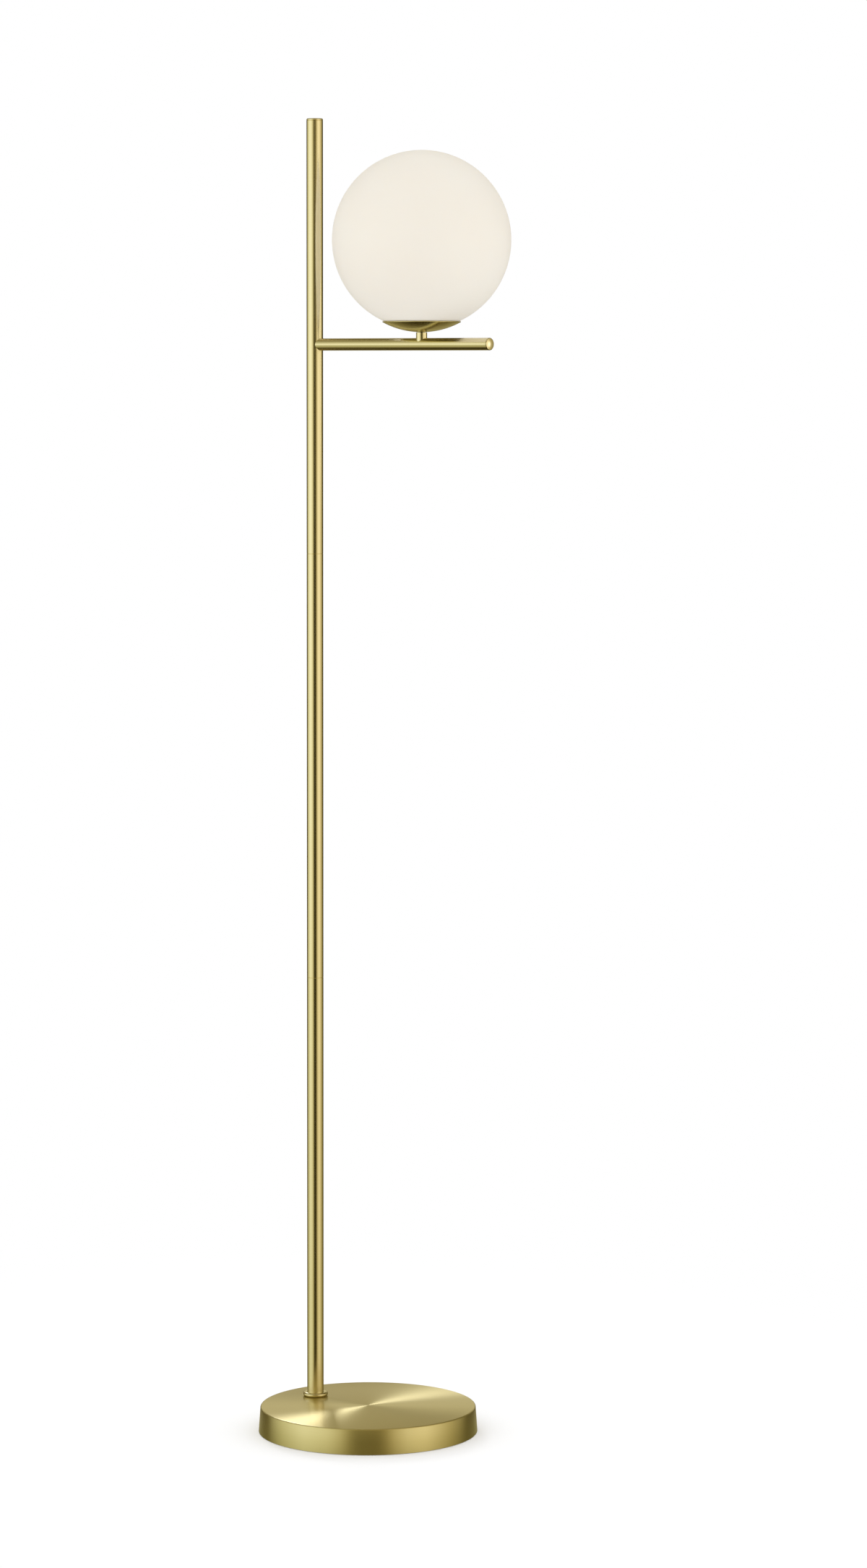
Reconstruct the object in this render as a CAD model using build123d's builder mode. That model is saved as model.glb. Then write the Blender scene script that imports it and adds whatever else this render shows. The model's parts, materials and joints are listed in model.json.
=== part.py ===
from build123d import *
import os
from math import pi, sqrt

# Globe floor lamp, in millimetres. The origin is the centre of the underside of the base, on the
# floor. +Z is up, and +X runs along the arm, from the pole towards the globe.

# ---------------------------------------------------------------- base
base_radius = 125.0  # foot of the tapered wall
base_taper = 2.0  # how much smaller the top is, in radius
cover_sheet = 1.2
cover_edge_round = 1.5
cover_stand = 0.5  # the wall's foot clears the floor by this
pad_thickness = 2.0
pad_margin = 3.5  # pad's edge inside the cover's wall
plate_thickness = 1.2
plate_margin = 0.4
service_gap = 9.6  # room between the plate and the weight
weight_thickness = 15.0
weight_margin = 0.8
weight_web = 6.0  # iron left above the cord channel
channel_width = 34.0
channel_overrun = 18.0  # channel's end past the pole's axis
plate_screw_inset = 27.0  # screws inside the foot of the base's wall
plate_screw_count = 3
plate_boss_radius = 8.0
plate_screw_radius = 2.0
plate_screw_head = 4.0
plate_screw_length = 14.0
countersink_taper = 45.0
hole_margin = 0.3  # a plain hole's radius over its screw's or nipple's

# ---------------------------------------------------------------- cord inlet
cord_bore = 3.2
bush_neck = 5.3
bush_flange = 6.8
bush_flange_thickness = 1.6
bush_snap = 6.0
bush_length = 13.0
bush_plate_gap = 0.6
clamp_distance = 22.0  # centre of the cord grip ahead of the pole's axis
clamp_length = 9.0
clamp_width = 27.0
clamp_bar_thickness = 5.0
clamp_gap = 0.3
clamp_screw_spacing = 18.0
clamp_screw_radius = 1.5
clamp_screw_head = 2.6
clamp_screw_head_height = 1.2
clamp_screw_grip = 4.0  # how far the screws run into the iron

# ---------------------------------------------------------------- terminal block
terminal_length = 17.0
terminal_width = 19.0
terminal_pitch = 9.0
terminal_hump = 3.6
terminal_bore = 1.5
terminal_floor_gap = 1.0
terminal_setback = 6.0  # from the channel's end to the block
terminal_screw_radius = 1.2
terminal_screw_inset = 4.0

# ---------------------------------------------------------------- pole
pole_inset = 45.0  # pole's axis inside the foot of the base's wall
pole_radius = 9.5
pole_wall = 1.0
lower_section = 484.0
middle_section = 488.0
upper_section = 496.5
pole_cap_thickness = 2.5
pole_cap_round = 1.3
pole_cap_plug = 9.0
seam_chamfer = 0.25
collar_width = 5.0  # ring's width beyond the pole
collar_height = 4.8
collar_round = 2.1
fit_gap = 0.05  # radial gap of what is pushed or screwed into a tube

# ---------------------------------------------------------------- hollow threads and their nuts
nipple_radius = 4.95
nipple_bore = 3.6
nipple_end = 0.8  # thread that stands out past the foot nut
foot_socket_depth = 16.0
foot_grip = 14.0  # thread held in the foot socket
washer_radius = 14.0
washer_thickness = 2.0
lock_washer_radius = 8.4
lock_washer_thickness = 1.0
nut_across_flats = 15.0
nut_corner_trim = 0.17  # turned off each corner
foot_nut_height = 5.0
joint_socket_depth = 20.0
joint_spigot_seat = 16.0  # part of the spigot pressed into the upper tube
joint_spigot_thread = 15.0
joint_thread_radius = 5.9
joint_bore = 4.0

# ---------------------------------------------------------------- arm
arm_rise = 240.0  # arm's axis above the upper joint of the pole
arm_length = 260.0  # from the pole's axis to the tip
arm_radius = 7.0
arm_wall = 1.0
arm_cap_thickness = 1.6
arm_cap_round = 0.9
arm_cap_plug = 7.0
arm_bush_wall = 0.9
arm_bush_reach = 5.0  # beyond the pole's surface, inside the arm
arm_bush_collar = 0.7

# ---------------------------------------------------------------- dish and globe
globe_reach = 160.0  # globe's axis from the pole's axis
stem_radius = 6.25
stem_length = 6.4  # stem that shows between the arm and the dish
dish_rim_radius = 44.5
dish_depth = 11.5
dish_wall = 1.1
dish_rim_round = 0.4
globe_radius = 101.0
globe_wall = 3.0
globe_seat_width = 10.5  # dish rim to the edge of the globe's opening
globe_edge_round = 1.1
gasket_thickness = 0.7
gasket_inset = 1.5  # gasket's inner edge outside the globe's opening
gasket_rim_gap = 2.4
gasket_glue = 0.1  # film between the gasket and the dish
running_gap = 0.3  # between the standing parts and what lifts or turns

# ---------------------------------------------------------------- gallery with its three clips
gallery_inset = 11.0  # plate's edge inside the globe's opening
gallery_thickness = 1.0
gallery_lift = 0.4  # plate's edge above the dish
spacer_radius = 8.0
gallery_nut_height = 3.0
clip_count = 3
clip_width = 10.0
clip_sheet = 0.8
clip_foot = 8.0
clip_bend_lift = 1.6  # clip's bend above the dish
clip_catch = 6.5  # clip's length above the glass
clip_lead_in = 2.0
clip_bend_round = 1.2
rivet_radius = 1.5
rivet_head = 2.6
rivet_head_height = 0.9

# ---------------------------------------------------------------- lampholder
holder_radius = 14.0
holder_wall = 1.6
holder_boss_radius = 8.0
holder_boss_height = 5.0
holder_flare_height = 7.0
holder_cup_height = 4.0
holder_body_height = 27.0
holder_lip = 1.5
insulator_thickness = 5.0
shell_radius = 7.05
shell_wall = 0.5
shell_length = 15.0
contact_radius = 2.6
contact_height = 2.4
holder_screw_radius = 1.4
holder_screw_length = 3.2
holder_screw_spacing = 11.0

# ---------------------------------------------------------------- bulb
cap_length = 16.0
cap_wall = 0.6
cap_tip_height = 3.0
tip_contact_radius = 2.4
tip_contact_height = 1.2
housing_neck = 7.6
housing_shoulder = 17.5
housing_height = 20.0
dome_radius = 22.5
dome_wall = 1.2
dome_height = 37.0

# ---------------------------------------------------------------- lead inside the tubes
lead_radius = 2.0
lead_plate_gap = 0.8
lead_wall_gap = 1.0
lead_elbow_radius = 12.0
lead_riser_radius = 14.0

# ---------------------------------------------------------------- places worked out from the sizes
plate_top = pad_thickness + plate_thickness
weight_bottom = plate_top + service_gap
weight_top = weight_bottom + weight_thickness
base_height = weight_top + cover_sheet
base_top_radius = base_radius - base_taper
wall_slope = base_taper / (base_height - cover_stand)
channel_roof = weight_top - weight_web
plate_screw_circle = base_radius - plate_screw_inset

pole_x = pole_inset - base_radius
pole_bore = pole_radius - pole_wall
lower_joint = base_height + lower_section
upper_joint = lower_joint + middle_section
pole_end = upper_joint + upper_section
lamp_height = pole_end + pole_cap_thickness
collar_radius = pole_radius + collar_width

washer_bottom = channel_roof - washer_thickness
foot_nut_top = washer_bottom - lock_washer_thickness
foot_nut_bottom = foot_nut_top - foot_nut_height
foot_nipple_bottom = foot_nut_bottom - nipple_end

arm_z = upper_joint + arm_rise
arm_bore = arm_radius - arm_wall
arm_tip_x = pole_x + arm_length
arm_tube_end = arm_tip_x - arm_cap_thickness
arm_bush_radius = nipple_bore + arm_bush_wall

globe_x = pole_x + globe_reach
dish_seat = arm_z + arm_radius + stem_length
dish_floor = dish_seat + dish_wall
dish_curve = (dish_rim_radius**2 + dish_depth**2) / (2 * dish_depth)
dish_inner_curve = dish_curve - dish_wall
dish_rim_z = dish_seat + dish_depth
globe_opening = dish_rim_radius - globe_seat_width
gasket_inner = globe_opening + gasket_inset
gasket_outer = dish_rim_radius - gasket_rim_gap


def cap_rise(curve, radius):
    """Height of a spherical cap above its lowest point, at a distance from its axis."""
    return curve - sqrt(curve**2 - radius**2)


def dish_rise(radius):
    """Height of the dish's inner surface above its lowest point."""
    return cap_rise(dish_inner_curve, radius)


def wall_radius(height):
    """Outer radius of the base's tapered wall at a height above the floor."""
    return base_radius - wall_slope * (height - cover_stand)


seat_radius = (gasket_inner + gasket_outer) / 2
globe_z = (
    dish_floor + dish_rise(seat_radius) + gasket_thickness + running_gap
    + sqrt(globe_radius**2 - seat_radius**2)
)
globe_inner = globe_radius - globe_wall
globe_edge_top = globe_z - sqrt(globe_inner**2 - globe_opening**2)

gallery_radius = globe_opening - gallery_inset
gallery_bottom = dish_floor + dish_rise(gallery_radius) + gallery_lift
gallery_top = gallery_bottom + gallery_thickness
gallery_nut_bottom = gallery_top + lock_washer_thickness
holder_bottom = gallery_nut_bottom + gallery_nut_height
flare_bottom = holder_bottom + holder_boss_height
flare_top = flare_bottom + holder_flare_height
cup_top = flare_top + holder_cup_height
insulator_top = cup_top + insulator_thickness
body_top = cup_top + holder_body_height
shell_top = insulator_top + shell_length
bulb_contact_bottom = insulator_top + contact_height + running_gap
bulb_tip_top = bulb_contact_bottom + tip_contact_height
bulb_cap_bottom = bulb_tip_top + cap_tip_height
bulb_cap_top = bulb_cap_bottom + cap_length
bulb_cap_radius = shell_radius - running_gap
housing_top = bulb_cap_top + housing_height
dome_top = housing_top + dome_height

inlet_z = plate_top + bush_flange + bush_plate_gap
inlet_x = -wall_radius(inlet_z)
channel_end = pole_x + channel_overrun
terminal_x = channel_end + terminal_setback
terminal_bottom = plate_top + terminal_floor_gap
lead_z = plate_top + lead_radius + lead_plate_gap


# ---------------------------------------------------------------- shapes that repeat
def tube(centre_x, bottom, top, outer, inner):
    """Upright tube, ring or washer."""
    with BuildPart() as piece:
        with BuildSketch(Plane.XY.offset(bottom)):
            with Locations((centre_x, 0)):
                Circle(outer)
                Circle(inner, mode=Mode.SUBTRACT)
        extrude(amount=top - bottom)
    return piece


def hex_nut(centre_x, bottom, height):
    """Hexagon nut on a hollow thread, its corners rounded off as a turned nut's are."""
    corner_radius = nut_across_flats / sqrt(3)
    with BuildPart() as piece:
        with BuildSketch(Plane.XY.offset(bottom)):
            with Locations((centre_x, 0)):
                RegularPolygon(corner_radius, 6)
                Circle(nipple_radius + fit_gap, mode=Mode.SUBTRACT)
        extrude(amount=height)
        with BuildSketch(Plane.XY.offset(bottom)):
            with Locations((centre_x, 0)):
                Circle(corner_radius - nut_corner_trim)
        extrude(amount=height, mode=Mode.INTERSECT)
    return piece


def pole_section(bottom, top):
    """One length of the pole, with the fine chamfers that make the seams."""
    with BuildPart() as piece:
        with BuildSketch(Plane.XY.offset(bottom)):
            with Locations((pole_x, 0)):
                Circle(pole_radius)
                Circle(pole_bore, mode=Mode.SUBTRACT)
        extrude(amount=top - bottom)
        rims = piece.edges().filter_by(GeomType.CIRCLE)
        outer_rims = rims.group_by(SortBy.RADIUS)[-1]
        chamfer(outer_rims, seam_chamfer)
    return piece


def joint_spigot(joint_z):
    """Hollow stud: its plain end is pressed into the tube above, its thread goes into the socket below."""
    with BuildPart() as piece:
        with BuildSketch(Plane.XY.offset(joint_z)):
            with Locations((pole_x, 0)):
                Circle(pole_bore - fit_gap)
        extrude(amount=joint_spigot_seat)
        with BuildSketch(Plane.XY.offset(joint_z)):
            with Locations((pole_x, 0)):
                Circle(joint_thread_radius)
        extrude(amount=-joint_spigot_thread)
        with BuildSketch(Plane.XY.offset(joint_z - joint_spigot_thread)):
            with Locations((pole_x, 0)):
                Circle(joint_bore)
        extrude(amount=joint_spigot_thread + joint_spigot_seat, mode=Mode.SUBTRACT)
    return piece


def plug_cap(thickness, plug_length, outer, bore, round_radius, plane):
    """Turned end cap: a disc flush with the tube, its edge rounded, and a hollow plug inside the tube."""
    with BuildPart() as piece:
        with BuildSketch(plane):
            Circle(outer)
        extrude(amount=thickness)
        fillet(piece.edges().group_by(plane_height(plane))[-1], round_radius)
        with BuildSketch(plane):
            Circle(bore - fit_gap)
            Circle(bore - fit_gap - thickness, mode=Mode.SUBTRACT)
        extrude(amount=-plug_length)
    return piece


def plane_height(plane):
    """Sorting key: how far an edge lies along the plane's normal."""
    return Axis(plane.origin, plane.z_dir)


def save(piece, name):
    piece.part.label = name
    export_step(piece.part, f"parts/{name}.step")


os.makedirs("parts", exist_ok=True)

# ---------------------------------------------------------------- base
with BuildPart() as base_cover:
    with BuildSketch(Plane.XZ):
        with BuildLine():
            Polyline(
                (0, base_height),
                (base_top_radius, base_height),
                (base_radius, cover_stand),
                (0, cover_stand),
                close=True,
            )
        make_face()
    revolve(axis=Axis.Z)
    fillet(base_cover.edges().group_by(Axis.Z)[-1], cover_edge_round)
    offset(amount=-cover_sheet, openings=base_cover.faces().sort_by(Axis.Z)[0])
    with BuildSketch(Plane.XY.offset(base_height)):
        with Locations((pole_x, 0)):
            Circle(nipple_radius + hole_margin)
    extrude(amount=-2 * cover_sheet, mode=Mode.SUBTRACT)
    with BuildSketch(Plane.YZ.offset(inlet_x - base_taper)):
        with Locations((0, inlet_z)):
            Circle(bush_neck + fit_gap)
    extrude(amount=4 * base_taper, mode=Mode.SUBTRACT)

with BuildPart() as base_weight:
    weight_radius = wall_radius(weight_top) - cover_sheet - weight_margin
    with BuildSketch(Plane.XY.offset(weight_bottom)):
        Circle(weight_radius)
    extrude(amount=weight_thickness)
    with BuildSketch(Plane.XY.offset(plate_top)):
        with PolarLocations(plate_screw_circle, plate_screw_count):
            Circle(plate_boss_radius)
    extrude(amount=service_gap)
    with BuildSketch(Plane.XY.offset(weight_bottom)):
        with Locations((channel_end, 0)):
            Rectangle(base_radius, channel_width, align=(Align.MAX, Align.CENTER))
    extrude(amount=channel_roof - weight_bottom, mode=Mode.SUBTRACT)
    with BuildSketch(Plane.XY.offset(channel_roof)):
        with Locations((pole_x, 0)):
            Circle(nipple_radius + hole_margin)
    extrude(amount=weight_web, mode=Mode.SUBTRACT)
    with BuildSketch(Plane.XY.offset(plate_top)):
        with PolarLocations(plate_screw_circle, plate_screw_count):
            Circle(plate_screw_radius + fit_gap)
    extrude(amount=plate_screw_length, mode=Mode.SUBTRACT)
    clamp_x = pole_x - clamp_distance
    with BuildSketch(Plane.XY.offset(channel_roof)):
        with Locations((clamp_x, 0)):
            with GridLocations(0, clamp_screw_spacing, 1, 2):
                Circle(clamp_screw_radius + fit_gap)
    extrude(amount=clamp_screw_grip, mode=Mode.SUBTRACT)

with BuildPart() as base_plate:
    plate_radius = wall_radius(plate_top) - cover_sheet - plate_margin
    with BuildSketch(Plane.XY.offset(pad_thickness)):
        Circle(plate_radius)
    extrude(amount=plate_thickness)
    with BuildSketch(Plane.XY.offset(pad_thickness)):
        with PolarLocations(plate_screw_circle, plate_screw_count):
            Circle(plate_screw_head + hole_margin)
    extrude(amount=plate_thickness, taper=countersink_taper, mode=Mode.SUBTRACT)

with BuildPart() as base_plate_screws:
    with BuildSketch(Plane.XY.offset(pad_thickness)):
        with PolarLocations(plate_screw_circle, plate_screw_count):
            Circle(plate_screw_head)
    extrude(amount=plate_thickness, taper=countersink_taper)
    with BuildSketch(Plane.XY.offset(pad_thickness)):
        with PolarLocations(plate_screw_circle, plate_screw_count):
            Circle(plate_screw_radius)
    extrude(amount=plate_thickness + plate_screw_length)

with BuildPart() as floor_pad:
    with BuildSketch(Plane.XY):
        Circle(wall_radius(0) - cover_sheet - pad_margin)
    extrude(amount=pad_thickness)

with BuildPart() as cord_bush:
    bush_mouth = inlet_x - bush_flange_thickness
    with BuildSketch(Plane.YZ.offset(bush_mouth)):
        with Locations((0, inlet_z)):
            Circle(bush_neck)
    extrude(amount=bush_length)
    with BuildSketch(Plane.YZ.offset(bush_mouth)):
        with Locations((0, inlet_z)):
            Circle(bush_flange)
    extrude(amount=bush_flange_thickness - wall_slope * bush_flange - fit_gap)
    snap_lead = wall_slope * bush_snap + bush_snap**2 / (2 * base_radius) + running_gap
    with BuildSketch(Plane.YZ.offset(inlet_x + cover_sheet + snap_lead)):
        with Locations((0, inlet_z)):
            Circle(bush_snap)
    extrude(amount=cover_sheet)
    with BuildSketch(Plane.YZ.offset(bush_mouth)):
        with Locations((0, inlet_z)):
            Circle(cord_bore)
    extrude(amount=bush_length, mode=Mode.SUBTRACT)

with BuildPart() as cord_clamp:
    with BuildSketch(Plane.XY.offset(inlet_z)):
        with Locations((clamp_x, 0)):
            Rectangle(clamp_length, clamp_width)
            with GridLocations(0, clamp_screw_spacing, 1, 2):
                Circle(clamp_screw_radius + fit_gap, mode=Mode.SUBTRACT)
    extrude(amount=channel_roof - inlet_z)
    with BuildSketch(Plane.YZ.offset(clamp_x - clamp_length / 2)):
        with Locations((0, inlet_z)):
            Circle(cord_bore)
    extrude(amount=clamp_length, mode=Mode.SUBTRACT)

with BuildPart() as clamp_bar:
    bar_top = inlet_z - clamp_gap
    bar_bottom = bar_top - clamp_bar_thickness
    with BuildSketch(Plane.XY.offset(bar_bottom)):
        with Locations((clamp_x, 0)):
            Rectangle(clamp_length, clamp_width)
            with GridLocations(0, clamp_screw_spacing, 1, 2):
                Circle(clamp_screw_radius + fit_gap, mode=Mode.SUBTRACT)
    extrude(amount=clamp_bar_thickness)
    with BuildSketch(Plane.YZ.offset(clamp_x - clamp_length / 2)):
        with Locations((0, inlet_z)):
            Circle(cord_bore)
    extrude(amount=clamp_length, mode=Mode.SUBTRACT)

with BuildPart() as clamp_screws:
    with BuildSketch(Plane.XY.offset(bar_bottom)):
        with Locations((clamp_x, 0)):
            with GridLocations(0, clamp_screw_spacing, 1, 2):
                Circle(clamp_screw_head)
    extrude(amount=-clamp_screw_head_height)
    with BuildSketch(Plane.XY.offset(bar_bottom)):
        with Locations((clamp_x, 0)):
            with GridLocations(0, clamp_screw_spacing, 1, 2):
                Circle(clamp_screw_radius)
    extrude(amount=channel_roof + clamp_screw_grip - bar_bottom)

with BuildPart() as terminal_block:
    terminal_middle = (weight_bottom + terminal_bottom) / 2
    with BuildSketch(Plane.YZ.offset(terminal_x)):
        with Locations((0, weight_bottom)):
            Rectangle(terminal_width, weight_bottom - terminal_middle, align=(Align.CENTER, Align.MAX))
        with Locations((0, terminal_bottom + terminal_hump)):
            with GridLocations(terminal_pitch, 0, 2, 1):
                Circle(terminal_hump)
    extrude(amount=terminal_length)
    with BuildSketch(Plane.YZ.offset(terminal_x)):
        with Locations((0, terminal_bottom + terminal_hump)):
            with GridLocations(terminal_pitch, 0, 2, 1):
                Circle(terminal_bore)
    extrude(amount=terminal_length, mode=Mode.SUBTRACT)
    with BuildSketch(Plane.XY.offset(terminal_bottom)):
        with Locations((terminal_x + terminal_length / 2, 0)):
            with GridLocations(terminal_length - 2 * terminal_screw_inset, terminal_pitch, 2, 2):
                Circle(terminal_screw_radius + fit_gap)
    extrude(amount=terminal_hump, mode=Mode.SUBTRACT)

with BuildPart() as terminal_screws:
    with BuildSketch(Plane.XY.offset(terminal_bottom)):
        with Locations((terminal_x + terminal_length / 2, 0)):
            with GridLocations(terminal_length - 2 * terminal_screw_inset, terminal_pitch, 2, 2):
                Circle(terminal_screw_radius)
    extrude(amount=terminal_hump - terminal_bore / 2)

# ---------------------------------------------------------------- foot of the pole
with BuildPart() as pole_collar:
    with BuildSketch(Plane.XY.offset(base_height)):
        with Locations((pole_x, 0)):
            Circle(collar_radius)
            Circle(pole_radius + fit_gap, mode=Mode.SUBTRACT)
    extrude(amount=collar_height)
    outer_edges = pole_collar.edges().filter_by(GeomType.CIRCLE).group_by(SortBy.RADIUS)[-1]
    fillet(outer_edges, collar_round)

foot_nipple = tube(pole_x, foot_nipple_bottom, base_height + foot_grip, nipple_radius, nipple_bore)
foot_washer = tube(pole_x, washer_bottom, channel_roof, washer_radius, nipple_radius + hole_margin)
foot_lock_washer = tube(pole_x, foot_nut_top, washer_bottom, lock_washer_radius, nipple_radius + hole_margin)
foot_nut = hex_nut(pole_x, foot_nut_bottom, foot_nut_height)
foot_socket = tube(
    pole_x, base_height, base_height + foot_socket_depth, pole_bore - fit_gap, nipple_radius + fit_gap
)

# ---------------------------------------------------------------- pole
lower_tube = pole_section(base_height, lower_joint)
middle_tube = pole_section(lower_joint, upper_joint)
lower_joint_socket = tube(
    pole_x, lower_joint - joint_socket_depth, lower_joint, pole_bore - fit_gap, joint_thread_radius + fit_gap
)
upper_joint_socket = tube(
    pole_x, upper_joint - joint_socket_depth, upper_joint, pole_bore - fit_gap, joint_thread_radius + fit_gap
)
lower_joint_spigot = joint_spigot(lower_joint)
upper_joint_spigot = joint_spigot(upper_joint)

with BuildPart() as upper_tube:
    add(pole_section(upper_joint, pole_end).part)
    with BuildSketch(Plane.YZ.offset(pole_x)):
        with Locations((0, arm_z)):
            Circle(arm_bush_radius + fit_gap)
    extrude(amount=2 * pole_radius, mode=Mode.SUBTRACT)

pole_cap_plane = Plane.XY.offset(pole_end).shift_origin((pole_x, 0, pole_end))
pole_cap = plug_cap(
    pole_cap_thickness, pole_cap_plug, pole_radius, pole_bore, pole_cap_round, pole_cap_plane
)

# ---------------------------------------------------------------- arm
with BuildPart() as arm_tube:
    with BuildSketch(Plane.YZ.offset(pole_x)):
        with Locations((0, arm_z)):
            Circle(arm_radius)
            Circle(arm_bore, mode=Mode.SUBTRACT)
    extrude(amount=arm_tube_end - pole_x)
    with BuildSketch(Plane.XY.offset(arm_z - 2 * arm_radius)):
        with Locations((pole_x, 0)):
            Circle(pole_radius + fit_gap)
    extrude(amount=4 * arm_radius, mode=Mode.SUBTRACT)
    with BuildSketch(Plane.XY.offset(arm_z)):
        with Locations((globe_x, 0)):
            Circle(nipple_bore + hole_margin)
    extrude(amount=2 * arm_radius, mode=Mode.SUBTRACT)

with BuildPart() as arm_bush:
    with BuildSketch(Plane.YZ.offset(pole_x)):
        with Locations((0, arm_z)):
            Circle(arm_bush_radius)
    extrude(amount=pole_radius + arm_bush_reach)
    with BuildSketch(Plane.YZ.offset(pole_x)):
        with Locations((0, arm_z)):
            Circle(arm_bush_radius + arm_bush_collar)
    extrude(amount=pole_radius + arm_bush_reach / 2)
    with BuildSketch(Plane.XY.offset(arm_z - 2 * arm_radius)):
        with Locations((pole_x, 0)):
            Circle(pole_radius + fit_gap)
    extrude(amount=4 * arm_radius, mode=Mode.SUBTRACT)
    with BuildSketch(Plane.YZ.offset(pole_x + pole_bore - pole_wall)):
        with Locations((0, arm_z)):
            Circle(arm_bush_radius)
    extrude(amount=3 * pole_wall)
    with BuildSketch(Plane.YZ.offset(pole_x)):
        with Locations((0, arm_z)):
            Circle(nipple_bore)
    extrude(amount=pole_radius + 2 * arm_bush_reach, mode=Mode.SUBTRACT)

arm_cap_plane = Plane.YZ.offset(arm_tube_end).shift_origin((arm_tube_end, 0, arm_z))
arm_end_cap = plug_cap(
    arm_cap_thickness, arm_cap_plug, arm_radius, arm_bore, arm_cap_round, arm_cap_plane
)

with BuildPart() as globe_stem:
    with BuildSketch(Plane.XY.offset(arm_z)):
        with Locations((globe_x, 0)):
            Circle(stem_radius)
            Circle(nipple_radius + fit_gap, mode=Mode.SUBTRACT)
    extrude(amount=dish_seat - arm_z)
    with BuildSketch(Plane.YZ.offset(globe_x - 2 * stem_radius)):
        with Locations((0, arm_z)):
            Circle(arm_radius + fit_gap)
    extrude(amount=4 * stem_radius, mode=Mode.SUBTRACT)

stem_nipple = tube(
    globe_x, arm_z + arm_radius + fit_gap, holder_bottom + holder_boss_height, nipple_radius, nipple_bore
)

# ---------------------------------------------------------------- dish
globe_axis = Axis((globe_x, 0, 0), (0, 0, 1))
dish_hole = nipple_radius + hole_margin
dish_rim_inner = dish_rim_radius * dish_inner_curve / dish_curve


def cap_arc(curve, lowest, inner, outer):
    """Arc of a spherical cap's profile, between two distances from the globe's axis."""
    middle = (inner + outer) / 2
    points = [(globe_x + radius, lowest + cap_rise(curve, radius)) for radius in (inner, middle, outer)]
    return ThreePointArc(*points)


with BuildPart() as dish:
    with BuildSketch(Plane.XZ):
        with BuildLine():
            underside = cap_arc(dish_curve, dish_seat, dish_hole, dish_rim_radius)
            inside = cap_arc(dish_inner_curve, dish_floor, dish_hole, dish_rim_inner)
            Line(underside @ 0, inside @ 0)
            Line(underside @ 1, inside @ 1)
        make_face()
    revolve(axis=globe_axis)
    rims = dish.edges().group_by(Axis.Z)
    fillet(rims[-1] + rims[-2], dish_rim_round)

with BuildPart() as globe_gasket:
    with BuildSketch(Plane.XY.offset(dish_floor)):
        with Locations((globe_x, 0)):
            Circle(gasket_outer)
            Circle(gasket_inner, mode=Mode.SUBTRACT)
    extrude(amount=2 * dish_depth)
    with Locations((globe_x, 0, dish_seat + dish_curve)):
        Sphere(dish_inner_curve - gasket_glue, mode=Mode.INTERSECT)
    with Locations((globe_x, 0, globe_z)):
        Sphere(globe_radius + running_gap, mode=Mode.SUBTRACT)

dish_spacer = tube(globe_x, dish_floor + dish_rise(spacer_radius), gallery_bottom, spacer_radius,
                   nipple_radius + hole_margin)

# ---------------------------------------------------------------- gallery and clips
gallery_plate = tube(globe_x, gallery_bottom, gallery_top, gallery_radius, nipple_radius + hole_margin)
gallery_lock_washer = tube(
    globe_x, gallery_top, gallery_nut_bottom, lock_washer_radius, nipple_radius + hole_margin
)
gallery_nut = hex_nut(globe_x, gallery_nut_bottom, gallery_nut_height)

clip_face = sqrt((globe_opening - running_gap) ** 2 - (clip_width / 2) ** 2)
clip_bend_z = dish_floor + dish_rise(globe_opening) + clip_bend_lift
clip_top = globe_edge_top + clip_catch
rivet_circle = gallery_radius - clip_foot / 2

with BuildPart() as clip:
    with BuildSketch(Plane.XZ.offset(-clip_width / 2)):
        with BuildLine():
            FilletPolyline(
                (gallery_radius - clip_foot, gallery_top),
                (gallery_radius, gallery_top),
                (clip_face, clip_bend_z),
                (clip_face, clip_top),
                (clip_face - clip_lead_in, clip_top + clip_lead_in),
                radius=clip_bend_round,
            )
            offset(amount=clip_sheet, side=Side.LEFT)
        make_face()
    extrude(amount=clip_width)
    with BuildSketch(Plane.XY.offset(gallery_top)):
        with Locations((rivet_circle, 0)):
            Circle(rivet_radius + fit_gap)
    extrude(amount=clip_sheet, mode=Mode.SUBTRACT)

with BuildPart() as globe_clips:
    with Locations((globe_x, 0, 0)):
        with PolarLocations(0, clip_count):
            add(clip.part)

with BuildPart() as clip_rivets:
    with Locations((globe_x, 0, gallery_top)):
        with PolarLocations(rivet_circle, clip_count):
            Cylinder(rivet_radius, clip_sheet, align=(Align.CENTER, Align.CENTER, Align.MIN))
    with Locations((globe_x, 0, gallery_top + clip_sheet)):
        with PolarLocations(rivet_circle, clip_count):
            Cone(rivet_head, rivet_radius, rivet_head_height, align=(Align.CENTER, Align.CENTER, Align.MIN))

# ---------------------------------------------------------------- lampholder
def turned(points):
    """Solid of revolution about the globe's axis from (radius, height) points."""
    with BuildPart() as piece:
        with BuildSketch(Plane.XZ):
            with BuildLine():
                Polyline(*[(globe_x + radius, height) for radius, height in points], close=True)
            make_face()
        revolve(axis=globe_axis)
    return piece


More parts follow.
